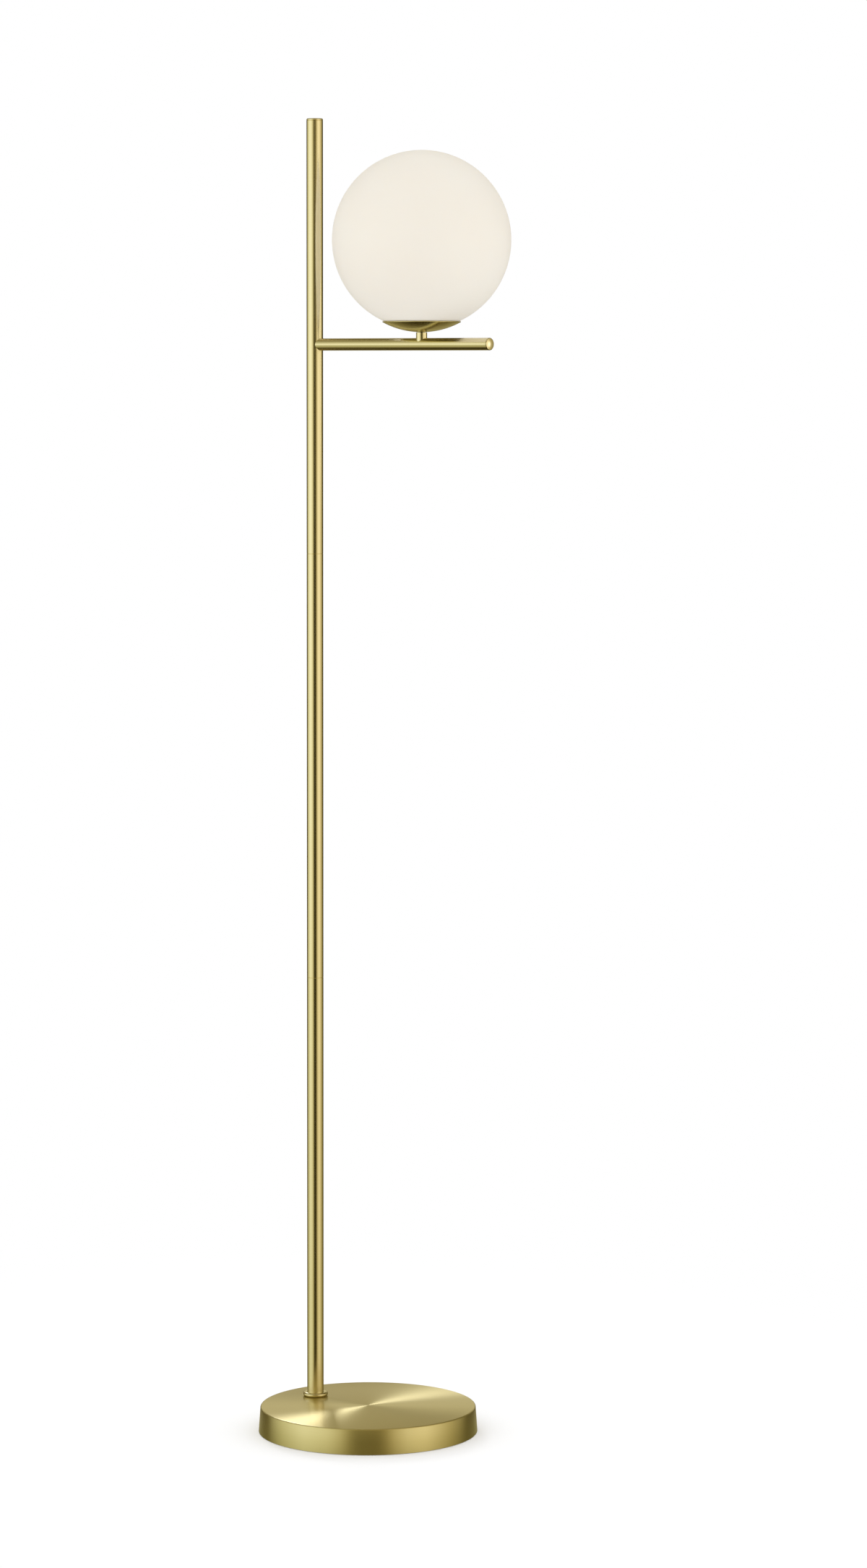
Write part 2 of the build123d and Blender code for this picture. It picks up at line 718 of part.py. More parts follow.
holder_inner = holder_radius - holder_wall
boss_bore = nipple_radius + fit_gap
holder_cap = turned(
    [
        (boss_bore, holder_bottom),
        (holder_boss_radius, holder_bottom),
        (holder_boss_radius, flare_bottom),
        (holder_radius, flare_top),
        (holder_radius, cup_top),
        (holder_inner, cup_top),
        (holder_inner, flare_top),
        (boss_bore, flare_bottom + holder_wall),
    ]
)
holder_body = turned(
    [
        (holder_inner, cup_top),
        (holder_radius, cup_top),
        (holder_radius, body_top),
        (holder_inner - holder_lip, body_top),
        (holder_inner - holder_lip, body_top - holder_lip),
        (holder_inner, body_top - 2 * holder_lip),
    ]
)
with BuildPart() as holder_insulator:
    with BuildSketch(Plane.XY.offset(cup_top)):
        with Locations((globe_x, 0)):
            Circle(holder_inner - fit_gap)
    extrude(amount=insulator_thickness)
    with BuildSketch(Plane.XY.offset(cup_top)):
        with Locations((globe_x, 0)):
            with GridLocations(0, holder_screw_spacing, 1, 2):
                Circle(holder_screw_radius + fit_gap)
    extrude(amount=holder_screw_length, mode=Mode.SUBTRACT)

with BuildPart() as holder_screws:
    with BuildSketch(Plane.XY.offset(cup_top)):
        with Locations((globe_x, 0)):
            with GridLocations(0, holder_screw_spacing, 1, 2):
                Circle(holder_screw_radius)
    extrude(amount=holder_screw_length)

holder_shell = tube(globe_x, insulator_top, shell_top, shell_radius + shell_wall, shell_radius)
holder_contact = turned(
    [
        (0, insulator_top),
        (contact_radius, insulator_top),
        (contact_radius, insulator_top + contact_height / 2),
        (contact_radius / 2, insulator_top + contact_height),
        (0, insulator_top + contact_height),
    ]
)

# ---------------------------------------------------------------- bulb
bulb_contact = turned(
    [
        (0, bulb_contact_bottom),
        (tip_contact_radius / 2, bulb_contact_bottom),
        (tip_contact_radius, bulb_contact_bottom + tip_contact_height / 2),
        (tip_contact_radius, bulb_tip_top),
        (0, bulb_tip_top),
    ]
)
bulb_insulator = turned(
    [
        (0, bulb_tip_top),
        (tip_contact_radius, bulb_tip_top),
        (bulb_cap_radius - cap_wall, bulb_cap_bottom),
        (0, bulb_cap_bottom),
    ]
)
bulb_cap = turned(
    [
        (0, bulb_cap_bottom),
        (bulb_cap_radius - cap_wall, bulb_cap_bottom),
        (bulb_cap_radius, bulb_cap_bottom + cap_wall),
        (bulb_cap_radius, bulb_cap_top),
        (bulb_cap_radius - cap_wall, bulb_cap_top),
        (bulb_cap_radius - cap_wall, bulb_cap_bottom + cap_wall),
        (0, bulb_cap_bottom + cap_wall),
    ]
)
with BuildPart() as bulb_housing:
    with BuildSketch(Plane.XZ):
        with BuildLine():
            Polyline(
                (globe_x, housing_top),
                (globe_x, bulb_cap_top),
                (globe_x + housing_neck, bulb_cap_top),
            )
            Spline(
                (globe_x + housing_neck, bulb_cap_top),
                (globe_x + housing_shoulder, housing_top),
                tangents=[(0.25, 1), (1, 1)],
            )
            Line((globe_x + housing_shoulder, housing_top), (globe_x, housing_top))
        make_face()
    revolve(axis=globe_axis)

dome_middle = dome_top - dome_radius
with BuildPart() as bulb_dome:
    with Locations((globe_x, 0, dome_middle)):
        Sphere(dome_radius)
        Sphere(dome_radius - dome_wall, mode=Mode.SUBTRACT)
    with BuildSketch(Plane.XY.offset(housing_top)):
        with Locations((globe_x, 0)):
            Circle(2 * dome_radius)
    extrude(amount=-2 * dome_radius, mode=Mode.SUBTRACT)

# ---------------------------------------------------------------- globe
with BuildPart() as globe:
    with Locations((globe_x, 0, globe_z)):
        Sphere(globe_radius)
        Sphere(globe_inner, mode=Mode.SUBTRACT)
    with BuildSketch(Plane.XY.offset(globe_z)):
        with Locations((globe_x, 0)):
            Circle(globe_opening)
    extrude(amount=-2 * globe_radius, mode=Mode.SUBTRACT)
    opening_edges = globe.edges().filter_by(GeomType.CIRCLE).filter_by(
        lambda edge: abs(edge.radius - globe_opening) < fit_gap
    )
    fillet(opening_edges, globe_edge_round)

# ---------------------------------------------------------------- lead
lead_foot_radius = foot_nipple_bottom - lead_z
lead_arm_z = arm_z - (arm_bore - lead_radius - lead_wall_gap)
with BuildPart() as inner_lead:
    with BuildLine() as lead_route:
        FilletPolyline(
            (terminal_x, 0, lead_z),
            (pole_x, 0, lead_z),
            (pole_x, 0, arm_z),
            (globe_x, 0, lead_arm_z),
            (globe_x, 0, cup_top),
            radius=[lead_foot_radius, lead_elbow_radius, lead_riser_radius],
        )
    with BuildSketch(Plane(origin=(terminal_x, 0, lead_z), z_dir=(-1, 0, 0))):
        Circle(lead_radius)
    sweep(path=lead_route.wires()[0])

lead_length = lead_route.wires()[0].length
lead_volume_share = inner_lead.part.volume / (pi * lead_radius**2 * lead_length)
print(f"lamp height {lamp_height:.1f}, base height {base_height:.1f}, globe centre {globe_z:.2f}")
print(f"lead length {lead_length:.1f}, volume over section times length {lead_volume_share:.4f}")
print(f"lead radii {lead_foot_radius:.1f}, {lead_elbow_radius:.1f}, {lead_riser_radius:.1f}")
print(f"globe clears the bulb after {dome_top - (globe_edge_top - globe_wall):.1f}")

for piece_name, piece in {
    "base_cover": base_cover,
    "base_weight": base_weight,
    "base_plate": base_plate,
    "base_plate_screws": base_plate_screws,
    "floor_pad": floor_pad,
    "cord_bush": cord_bush,
    "cord_clamp": cord_clamp,
    "clamp_bar": clamp_bar,
    "clamp_screws": clamp_screws,
    "terminal_block": terminal_block,
    "terminal_screws": terminal_screws,
    "pole_collar": pole_collar,
    "foot_nipple": foot_nipple,
    "foot_washer": foot_washer,
    "foot_lock_washer": foot_lock_washer,
    "foot_nut": foot_nut,
    "foot_socket": foot_socket,
    "lower_tube": lower_tube,
    "middle_tube": middle_tube,
    "upper_tube": upper_tube,
    "lower_joint_socket": lower_joint_socket,
    "lower_joint_spigot": lower_joint_spigot,
    "upper_joint_socket": upper_joint_socket,
    "upper_joint_spigot": upper_joint_spigot,
    "pole_cap": pole_cap,
    "arm_tube": arm_tube,
    "arm_bush": arm_bush,
    "arm_end_cap": arm_end_cap,
    "globe_stem": globe_stem,
    "stem_nipple": stem_nipple,
    "dish": dish,
    "globe_gasket": globe_gasket,
    "dish_spacer": dish_spacer,
    "gallery_plate": gallery_plate,
    "gallery_lock_washer": gallery_lock_washer,
    "gallery_nut": gallery_nut,
    "globe_clips": globe_clips,
    "clip_rivets": clip_rivets,
    "holder_cap": holder_cap,
    "holder_body": holder_body,
    "holder_insulator": holder_insulator,
    "holder_screws": holder_screws,
    "holder_shell": holder_shell,
    "holder_contact": holder_contact,
    "bulb_contact": bulb_contact,
    "bulb_insulator": bulb_insulator,
    "bulb_cap": bulb_cap,
    "bulb_housing": bulb_housing,
    "bulb_dome": bulb_dome,
    "globe": globe,
    "inner_lead": inner_lead,
}.items():
    save(piece, piece_name)
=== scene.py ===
import json
import math

import bmesh
import bpy
from mathutils import Matrix, Vector


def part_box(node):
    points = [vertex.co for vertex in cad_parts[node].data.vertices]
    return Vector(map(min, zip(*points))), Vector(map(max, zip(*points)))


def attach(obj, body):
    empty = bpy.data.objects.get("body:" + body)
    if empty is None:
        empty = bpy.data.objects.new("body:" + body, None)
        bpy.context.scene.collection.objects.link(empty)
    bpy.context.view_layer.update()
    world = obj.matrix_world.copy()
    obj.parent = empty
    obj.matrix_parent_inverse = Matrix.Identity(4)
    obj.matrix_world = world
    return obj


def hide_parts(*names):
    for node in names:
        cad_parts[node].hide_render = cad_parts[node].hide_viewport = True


# Globe floor lamp in brushed brass with an opal glass globe. Lengths are in metres.

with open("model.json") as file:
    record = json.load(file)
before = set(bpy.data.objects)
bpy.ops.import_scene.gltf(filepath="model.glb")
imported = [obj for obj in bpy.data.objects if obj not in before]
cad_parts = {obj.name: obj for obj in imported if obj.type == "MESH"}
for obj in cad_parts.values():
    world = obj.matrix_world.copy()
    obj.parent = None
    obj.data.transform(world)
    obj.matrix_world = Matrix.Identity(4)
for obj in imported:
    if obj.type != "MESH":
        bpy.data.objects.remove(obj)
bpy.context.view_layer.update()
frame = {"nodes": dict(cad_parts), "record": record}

MM = 0.001
FULL_TURN = 2 * math.pi
QUARTER_TURN = math.pi / 2
UP = Vector((0, 0, 1))
ALONG_X = Matrix.Rotation(QUARTER_TURN, 4, "Y")
SHARP_ANGLE = math.radians(32)
SAME_PLACE = 0.01 * MM
# Steps round a full turn.
BASE_STEPS = 256
GLASS_STEPS = 192
GLASS_ROWS = 128
DOME_STEPS = 160
HOUSING_STEPS = 128
TUBE_STEPS = 96
SMALL_STEPS = 64
RIVET_STEPS = 32


# -------------------- sizes read from the frame
def low(node):
    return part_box(node)[0]


def high(node):
    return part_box(node)[1]


def levels(node):
    """Height of a node's bottom and top."""
    return low(node).z, high(node).z


def radius(node):
    """Radius of an upright round node."""
    return (high(node).x - low(node).x) / 2


pole_x = (low("lower_tube").x + high("lower_tube").x) / 2
pole_radius = radius("lower_tube")
arm_radius = (high("arm_tube").z - low("arm_tube").z) / 2
arm_z = (high("arm_tube").z + low("arm_tube").z) / 2
globe_x = (low("globe").x + high("globe").x) / 2
globe_radius = radius("globe")
globe_z = high("globe").z - globe_radius

# Sizes that the boxes don't give. First the gaps, the cuts and the eases of small corners.
fit_gap = 0.05 * MM
running_gap = 0.3 * MM
hole_margin = 0.3 * MM
drill_length = 12.0 * MM
fine_ease = 0.2 * MM
soft_ease = 0.3 * MM
wide_ease = 0.4 * MM
# Base.
cover_sheet = 1.2 * MM
cover_edge_round = 1.5 * MM
sheet_edge_round = 0.25 * MM
base_taper = 2.0 * MM
pad_foot_round = 0.4 * MM
pad_top_round = 0.2 * MM
bush_bore = 3.2 * MM
bush_neck = 5.3 * MM
bush_flange_thickness = 1.43 * MM
bush_face_round = 0.7 * MM
bush_mouth_round = 0.6 * MM
bush_end_round = 0.4 * MM
collar_round = 2.3 * MM
# Pole, arm and stem.
tube_wall = 1.0 * MM
seam_chamfer = 0.25 * MM
pole_cap_thickness = 2.5 * MM
pole_cap_round = 1.3 * MM
lead_hole = 4.55 * MM
arm_cap_thickness = 1.6 * MM
arm_cap_round = 0.9 * MM
arm_cap_dome = 0.5 * MM
arm_seam = 0.3 * MM
stem_bore = 5.0 * MM
# Dish and globe.
dish_depth = 11.5 * MM
dish_wall = 1.1 * MM
dish_rim_round = 0.4 * MM
globe_wall = 3.0 * MM
globe_opening = 34.0 * MM
globe_edge_round = 1.1 * MM
gasket_inner = 35.5 * MM
gasket_outer = 42.1 * MM
gasket_glue = 0.1 * MM
# Threads, nuts and washers.
nipple_radius = 4.95 * MM
nipple_bore = 3.6 * MM
nipple_pitch = 1.0 * MM
nipple_thread_depth = 0.5 * MM
nipple_lead_share = 0.7
thread_relief = 0.1 * MM
spigot_radius = 5.9 * MM
spigot_bore = 4.0 * MM
spigot_thread = 15.0 * MM
spigot_chamfer = 0.4 * MM
nut_face_share = 0.97
nut_chamfer = 0.5 * MM
# Plate, spacer, clips and rivets.
plate_bore_ease = 0.15 * MM
clip_count = 3
clip_sheet = 0.8 * MM
clip_width = 10.0 * MM
clip_foot = 8.0 * MM
clip_end_round = 2.0 * MM
clip_bend_lift = 1.6 * MM
clip_bend_round = 1.2 * MM
clip_lead_in = 2.0 * MM
rivet_shank = 1.5 * MM
rivet_head = 2.6 * MM
rivet_rim = 0.25 * MM
# Lampholder.
holder_wall = 1.6 * MM
holder_boss_radius = 8.0 * MM
holder_boss_height = 5.0 * MM
holder_boss_wall = 1.2 * MM
holder_flare_height = 7.0 * MM
holder_edge = 0.5 * MM
holder_step = 0.3 * MM
holder_lip = 1.5 * MM
holder_mouth_round = 0.8 * MM
holder_smooth_top = 2.0 * MM
groove_heights = (6 * MM, 9 * MM, 12 * MM)
groove_size = 0.5 * MM
contact_sheet = 1.2 * MM
# Bulb and its thread.
lamp_pitch = 2.82 * MM
lamp_thread_depth = 0.7 * MM
lamp_shell_bore = 7.05 * MM
lamp_shell_wall = 0.45 * MM
lamp_thread_steps = (64, 12)
pip_flat_share = 0.55
pip_round = 0.6 * MM
pip_top_ease = 0.1 * MM
insulator_step = (0.8 * MM, 0.5 * MM)
bulb_collar_height = 2.4 * MM
bulb_cap_wall = 0.6 * MM
bulb_cap_foot = (0.25 * MM, 0.15 * MM)
bulb_cap_bend = (0.25 * MM, 0.5 * MM)
bulb_collar_inset = 0.05 * MM
housing_neck = 7.6 * MM
# Shares of the housing's widening that follow its height, and its height squared.
housing_widening = (0.45, 0.55)
dome_wall = 1.2 * MM


# -------------------- materials
def linear(code):
    """An sRGB hex colour as linear red, green, blue and alpha."""
    shares = [int(code[place:place + 2], 16) / 255 for place in (1, 3, 5)]
    return [s / 12.92 if s <= 0.04045 else ((s + 0.055) / 1.055) ** 2.4 for s in shares] + [1.0]


def add_node(tree, kind, inputs=None, **settings):
    """Adds a node with its settings; each input is a value or another node's output."""
    node = tree.nodes.new("ShaderNode" + kind)
    for name, value in settings.items():
        setattr(node, name, value)
    for key, value in (inputs or {}).items():
        if isinstance(value, bpy.types.NodeSocket):
            tree.links.new(value, node.inputs[key])
        else:
            node.inputs[key].default_value = value
    return node


def new_material(name, **uniform):
    """A material with its Principled shader, whose uniform values are set on its own sockets."""
    made = bpy.data.materials.new(name)
    made.use_nodes = True
    shader = made.node_tree.nodes["Principled BSDF"]
    for socket, value in uniform.items():
        shader.inputs[socket.replace("_", " ")].default_value = value
    return made, made.node_tree, shader


def waves_per_metre(spacing_mm):
    """Noise scale whose spots lie this many millimetres apart."""
    return 1 / (spacing_mm * MM)


def plain_finish(slot, name, spacing_mm, tones, roughness, height_mm=0.0, detail=3.0, **uniform):
    """A material and its slot.

    Colour, roughness and height vary together over the surface, at a real spacing.
    """
    made, tree, shader = new_material(name, **uniform)
    place = add_node(tree, "TexCoord")
    noise = add_node(tree, "TexNoise", {
        "Vector": place.outputs["Object"], "Scale": waves_per_metre(spacing_mm), "Detail": detail,
    })
    colour = add_node(tree, "MixRGB", {
        "Fac": noise.outputs["Fac"], "Color1": linear(tones[0]), "Color2": linear(tones[1]),
    })
    rough = add_node(tree, "MapRange", {
        "Value": noise.outputs["Fac"], "To Min": roughness[0], "To Max": roughness[1],
    })
    tree.links.new(colour.outputs["Color"], shader.inputs["Base Color"])
    tree.links.new(rough.outputs["Result"], shader.inputs["Roughness"])
    if height_mm:
        bump = add_node(tree, "Bump", {
            "Height": noise.outputs["Fac"], "Distance": height_mm * MM, "Strength": 1.0,
        })
        tree.links.new(bump.outputs["Normal"], shader.inputs["Normal"])
    return made, slot


PALE_BRASS = ("#DACFA6", "#E7DDB9")
WARM_BRASS = ("#DED29E", "#E9DFAF")
# The lacquers' weight and roughness.
THIN_LACQUER = (0.25, 0.22)
CLEAR_LACQUER = (0.6, 0.12)
# Faint clouds in the plating: how far apart they lie, and how far the roughness strays.
CLOUD_MM = 60
ROUGHNESS_SWING = 0.03


def brushed_brass(name, tones, across, tangent, roughness, spread, lacquer, lines_mm=1.2,
                  height_mm=0.00015):
    """Brass-plated steel, brushed with a fine belt and lacquered, and its slot.

    across and tangent are functions of the tree and the Object coordinates. across gives the
    length, in metres, measured across the brush lines. The lines are 0.2 mm apart on the lamp and
    too fine to show, so they are drawn wider. The lacquer, with its weight and its roughness, adds
    a clear gloss over the satin metal, which shows most where the eye meets the face at a low
    angle.
    """
    made, tree, shader = new_material(
        name, Metallic=1.0, Anisotropic=spread, Coat_Weight=lacquer[0], Coat_Roughness=lacquer[1],
    )
    place = add_node(tree, "TexCoord").outputs["Object"]
    lines = add_node(tree, "TexNoise", {
        "W": across(tree, place), "Scale": waves_per_metre(lines_mm), "Detail": 2.0,
        "Roughness": 0.6,
    }, noise_dimensions="1D")
    clouds = add_node(tree, "TexNoise", {
        "Vector": place, "Scale": waves_per_metre(CLOUD_MM), "Detail": 3.0,
    })
    both = add_node(tree, "Math", {0: lines.outputs["Fac"], 1: clouds.outputs["Fac"]},
                    operation="ADD")
    half = add_node(tree, "Math", {0: both.outputs[0], 1: 0.5}, operation="MULTIPLY")
    colour = add_node(tree, "MixRGB", {
        "Fac": half.outputs[0], "Color1": linear(tones[0]), "Color2": linear(tones[1]),
    })
    rough = add_node(tree, "MapRange", {
        "Value": half.outputs[0], "To Min": roughness - ROUGHNESS_SWING,
        "To Max": roughness + ROUGHNESS_SWING,
    })
    bump = add_node(tree, "Bump", {
        "Height": lines.outputs["Fac"], "Distance": height_mm * MM, "Strength": 1.0,
    })
    tree.links.new(colour.outputs["Color"], shader.inputs["Base Color"])
    tree.links.new(rough.outputs["Result"], shader.inputs["Roughness"])
    tree.links.new(bump.outputs["Normal"], shader.inputs["Normal"])
    tree.links.new(tangent(tree, place), shader.inputs["Tangent"])
    return made, "brushed_brass"


def along(axis):
    """The coordinate along one axis, for brush lines that run round it."""
    return lambda tree, place: add_node(tree, "SeparateXYZ", {0: place}).outputs[axis]


def pointing(axis):
    """The same direction everywhere, along one axis."""
    return lambda tree, place: add_node(tree, "CombineXYZ", {axis: 1.0}).outputs["Vector"]


def off_axis(tree, place, centre_x):
    """The level vector from an upright axis, and the height."""
    shifted = add_node(tree, "Mapping", {"Vector": place, "Location": (-centre_x, 0, 0)})
    parts = add_node(tree, "SeparateXYZ", {0: shifted.outputs["Vector"]})
    level = add_node(tree, "CombineXYZ", {"X": parts.outputs["X"], "Y": parts.outputs["Y"]})
    return level.outputs["Vector"], parts.outputs["Z"]


def from_axis(centre_x):
    """Distance from an upright axis plus the height: across rings and across bands alike."""
    def across(tree, place):
        level, height = off_axis(tree, place, centre_x)
        length = add_node(tree, "VectorMath", {0: level}, operation="LENGTH")
        total = add_node(tree, "Math", {0: length.outputs["Value"], 1: height}, operation="ADD")
        return total.outputs[0]
    return across


def outward(centre_x):
    """Direction away from an upright axis on flat faces, and upright on walls."""
    def tangent(tree, place):
        level = off_axis(tree, place, centre_x)[0]
        unit = add_node(tree, "VectorMath", {0: level}, operation="NORMALIZE")
        lifted = add_node(tree, "VectorMath", {0: unit.outputs["Vector"], 1: UP}, operation="ADD")
        return lifted.outputs["Vector"]
    return tangent


# Tubes: satin, so fine that only a soft stripe of the room shows.
pole_brass = brushed_brass(
    "brushed_brass_pole", PALE_BRASS, along("Z"), pointing("Z"), 0.19, 0.4, THIN_LACQUER,
)
arm_brass = brushed_brass(
    "brushed_brass_arm", PALE_BRASS, along("X"), pointing("X"), 0.24, 0.3, THIN_LACQUER,
)
# Arm's end cap: turned and polished before its lacquer, so it holds one clear patch of light.
cap_brass = brushed_brass(
    "polished_brass_end_cap", PALE_BRASS, along("X"), pointing("X"), 0.14, 0.0, CLEAR_LACQUER,
)
# Base: brushed in circles, which draws light into two wedges that meet at its centre.
base_brass = brushed_brass(
    "circular_brushed_brass_base", WARM_BRASS, from_axis(0), outward(0), 0.33, 0.9, CLEAR_LACQUER,
    lines_mm=0.9, height_mm=0.0005,
)
# Small turned parts: brighter and a little glossier than the tubes.
foot_brass = brushed_brass(
    "turned_brass_foot", PALE_BRASS, from_axis(pole_x), outward(pole_x), 0.2, 0.3, CLEAR_LACQUER,
)
# Dish: spun over a form, with faint rings.
dish_brass = brushed_brass(
    "spun_brass_dish", WARM_BRASS, from_axis(globe_x), outward(globe_x), 0.24, 0.4, THIN_LACQUER,
)
# Blown opal glass, etched to a satin skin: light goes in and comes out soft and cream.
opal_glass = plain_finish(
    "opal_glass", "etched_opal_glass", 90, ("#F6EDE0", "#F8F2E7"), (0.5, 0.58), detail=2.0,
    IOR=1.5, Subsurface_Weight=0.3, Subsurface_Scale=3 * MM, Subsurface_Radius=(1.0, 0.92, 0.78),
)
# Moulded polycarbonate, frosted inside: a soft white dome.
frosted_dome = plain_finish(
    "frosted_dome", "frosted_polycarbonate_dome", 2.0, ("#F6F4EE", "#FBFAF5"), (0.34, 0.42), 0.004,
    IOR=1.585, Subsurface_Weight=0.3, Subsurface_Scale=1.5 * MM,
    Subsurface_Radius=(1.0, 0.98, 0.94),
)
# Sand-cast iron, painted black: coarse grains, almost no shine.
cast_iron = plain_finish(
    "cast_iron", "sand_cast_painted_iron", 1.6, ("#232322", "#343433"), (0.62, 0.8), 0.12,
)
# Zinc-plated steel: bluish silver with a faint cloudiness from the bath.
zinc_steel = plain_finish(
    "zinc_steel", "zinc_plated_steel", 6, ("#A9ADB0", "#C6CACD"), (0.26, 0.4), 0.004, Metallic=1.0,
)
# Turned brass, not plated: warmer and smoother than the brushed tubes.
turned_brass = plain_finish(
    "turned_brass", "turned_brass_thread", 3, ("#C9A85C", "#DCBF77"), (0.2, 0.32), 0.004,
    Metallic=1.0,
)
# Rolled spring steel, blued by its heat treatment.
spring_steel = plain_finish(
    "spring_steel", "rolled_spring_steel", 4, ("#8C9197", "#ABB0B5"), (0.24, 0.36), 0.002,
    Metallic=1.0,
)
# Nickel-plated brass sheet: bright and cool.
nickel = plain_finish(
    "nickel", "nickel_plated_brass", 3, ("#C3C7CC", "#DADDE2"), (0.14, 0.24), 0.002, Metallic=1.0,
)
# Closed-cell foam: black, dull, finely pitted.
foam_pad = plain_finish(
    "foam_pad", "closed_cell_foam", 0.8, ("#1A1A1A", "#262626"), (0.82, 0.94), 0.06,
)
# Moulded phenolic and nylon: black with a low even shine.
black_plastic = plain_finish(
    "black_plastic", "moulded_black_plastic", 0.6, ("#141414", "#1D1D1D"), (0.36, 0.46), 0.01,
    IOR=1.5,
)
# Moulded polycarbonate: white with a low even shine.
white_plastic = plain_finish(
    "white_plastic", "moulded_white_plastic", 0.6, ("#E8E8E4", "#F1F1ED"), (0.34, 0.42), 0.008,
    IOR=1.55,
)
# Silicone rubber: cloudy and pale, slightly translucent.
clear_silicone = plain_finish(
    "clear_silicone", "cloudy_silicone", 1.5, ("#DCDAD2", "#E9E7E0"), (0.4, 0.5), 0.004, IOR=1.41,
    Subsurface_Weight=0.4, Subsurface_Scale=0.8 * MM, Subsurface_Radius=(1.0, 0.98, 0.94),
)
# Extruded PVC sheath: grey-white and slightly waxy.
lead_sheath = plain_finish(
    "lead_sheath", "extruded_pvc_sheath", 2.5, ("#CFCFCB", "#DCDCD8"), (0.42, 0.52), 0.006,
    IOR=1.53,
)


# -------------------- modelling
def turned(outline, steps):
    """Spins an outline of (radius, height) points about the Z axis.

    An outline that doesn't start on the axis is closed first.
    """
    bm = bmesh.new()
    verts = [bm.verts.new((r, 0, z)) for r, z in outline]
    pairs = list(zip(verts, verts[1:]))
    if outline[0][0] > 0:
        pairs.append((verts[-1], verts[0]))
    edges = [bm.edges.new(pair) for pair in pairs]
    bmesh.ops.spin(
        bm, geom=verts + edges, cent=(0, 0, 0), axis=UP, angle=FULL_TURN, steps=steps,
        use_merge=True,
    )
    bmesh.ops.remove_doubles(bm, verts=bm.verts, dist=SAME_PLACE)
    bmesh.ops.recalc_face_normals(bm, faces=bm.faces)
    return bm


def tube_mesh(outer, inner, bottom, top):
    return turned([(inner, bottom), (outer, bottom), (outer, top), (inner, top)], TUBE_STEPS)


def eased(corners, steps=5):
    """Outline points from (radius, height, ease) corners, each rounded off by its ease."""
    points = []
    for index, (r, z, ease) in enumerate(corners):
        here = Vector((r, z))
        if not ease:
            points.append((r, z))
            continue
        before = Vector(corners[index - 1][:2])
        after = Vector(corners[(index + 1) % len(corners)][:2])
        start = here + (before - here).normalized() * ease
        end = here + (after - here).normalized() * ease
        for step in range(steps + 1):
            share = step / steps
            rest = 1 - share
            points.append(tuple(start * rest ** 2 + here * 2 * share * rest + end * share ** 2))
    return points


def washer_mesh(bore, outer, bottom, top, bore_ease, rim_ease, steps, ease_steps=5):
    """Flat ring with eased edges."""
    return turned(eased([
        (bore, bottom, bore_ease), (outer, bottom, rim_ease), (outer, top, rim_ease),
        (bore, top, bore_ease),
    ], ease_steps), steps)


def quarter_arc(count):
    """Angles from nothing to a quarter turn."""
    return [QUARTER_TURN * step / count for step in range(count + 1)]


def round_ring(bm, ring_radius, height, amount, segments=4):
    """Rounds the circular edge at a radius and a height."""
    def on_ring(vert):
        return (abs(math.hypot(vert.co.x, vert.co.y) - ring_radius) < SAME_PLACE
                and abs(vert.co.z - height) < SAME_PLACE)
    ring = [edge for edge in bm.edges if on_ring(edge.verts[0]) and on_ring(edge.verts[1])]
    bmesh.ops.bevel(
        bm, geom=ring, offset=amount, affect="EDGES", segments=segments, profile=0.5, material=-1,
        clamp_overlap=True,
    )


def moved(bm, x=0.0, z=0.0):
    bmesh.ops.translate(bm, vec=(x, 0, z), verts=bm.verts)
    return bm


def laid_along_x(bm, x, z):
    """Turns an upright mesh to lie along +X from a place."""
    bmesh.ops.transform(bm, matrix=ALONG_X, verts=bm.verts)
    return moved(bm, x, z)


def joined(bm, other):
    """Adds another mesh to this one."""
    mesh = bpy.data.meshes.new("other")
    other.to_mesh(mesh)
    other.free()
    bm.from_mesh(mesh)
    bpy.data.meshes.remove(mesh)
    return bm


def cut_level(bm, height, away):
    """Cuts off what lies past a height, on the side that away points to."""
    bmesh.ops.bisect_plane(
        bm, geom=bm.verts[:] + bm.edges[:] + bm.faces[:], dist=SAME_PLACE / 10,
        plane_co=(0, 0, height), plane_no=away, clear_outer=True,
    )


def cope(bm, axis, level, mate_radius):
    """Shapes a tube's end, at a level along an axis, to seat on a round tube that crosses it."""
    for vert in bm.verts:
        if abs(vert.co[axis] - level) < SAME_PLACE:
            vert.co[axis] += math.sqrt(mate_radius ** 2 - vert.co.y ** 2)


def smooth(mesh):
    mesh.shade_smooth()
    mesh.set_sharp_from_angle(angle=SHARP_ANGLE)


def piece(bm, name, finish, body, *nodes):
    """A finished object with its smooth shading, material, body and replaced nodes."""
    material, slot = finish
    mesh = bpy.data.meshes.new(name)
    bm.to_mesh(mesh)
    bm.free()
    smooth(mesh)
    mesh.materials.append(material)
    made = bpy.data.objects.new(name, mesh)
    bpy.context.scene.collection.objects.link(made)
    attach(made, body)
    if nodes:
        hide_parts(*nodes)
    return made


def cut_with(target, bm, operation):
    """Cuts a piece with another mesh, or keeps only what lies inside it."""
    mesh = bpy.data.meshes.new("cutter")
    bm.to_mesh(mesh)
    bm.free()
    cutter = bpy.data.objects.new("cutter", mesh)
    bpy.context.scene.collection.objects.link(cutter)
    cut = target.modifiers.new("cut", "BOOLEAN")
    cut.operation = operation
    cut.solver = "EXACT"
    cut.object = cutter
    bpy.context.view_layer.update()
    graph = bpy.context.evaluated_depsgraph_get()
    result = bpy.data.meshes.new_from_object(target.evaluated_get(graph))
    target.modifiers.clear()
    old = target.data
    target.data = result
    bpy.data.meshes.remove(old)
    bpy.data.objects.remove(cutter)
    smooth(result)


def drill(target, place, hole_radius, turn=Matrix()):
    """Cuts a round hole through a piece, centred on a place."""
    bm = bmesh.new()
    bmesh.ops.create_cone(
        bm, cap_ends=True, segments=SMALL_STEPS, radius1=hole_radius, radius2=hole_radius,
        depth=drill_length, matrix=Matrix.Translation(place) @ turn,
    )
    cut_with(target, bm, "DIFFERENCE")


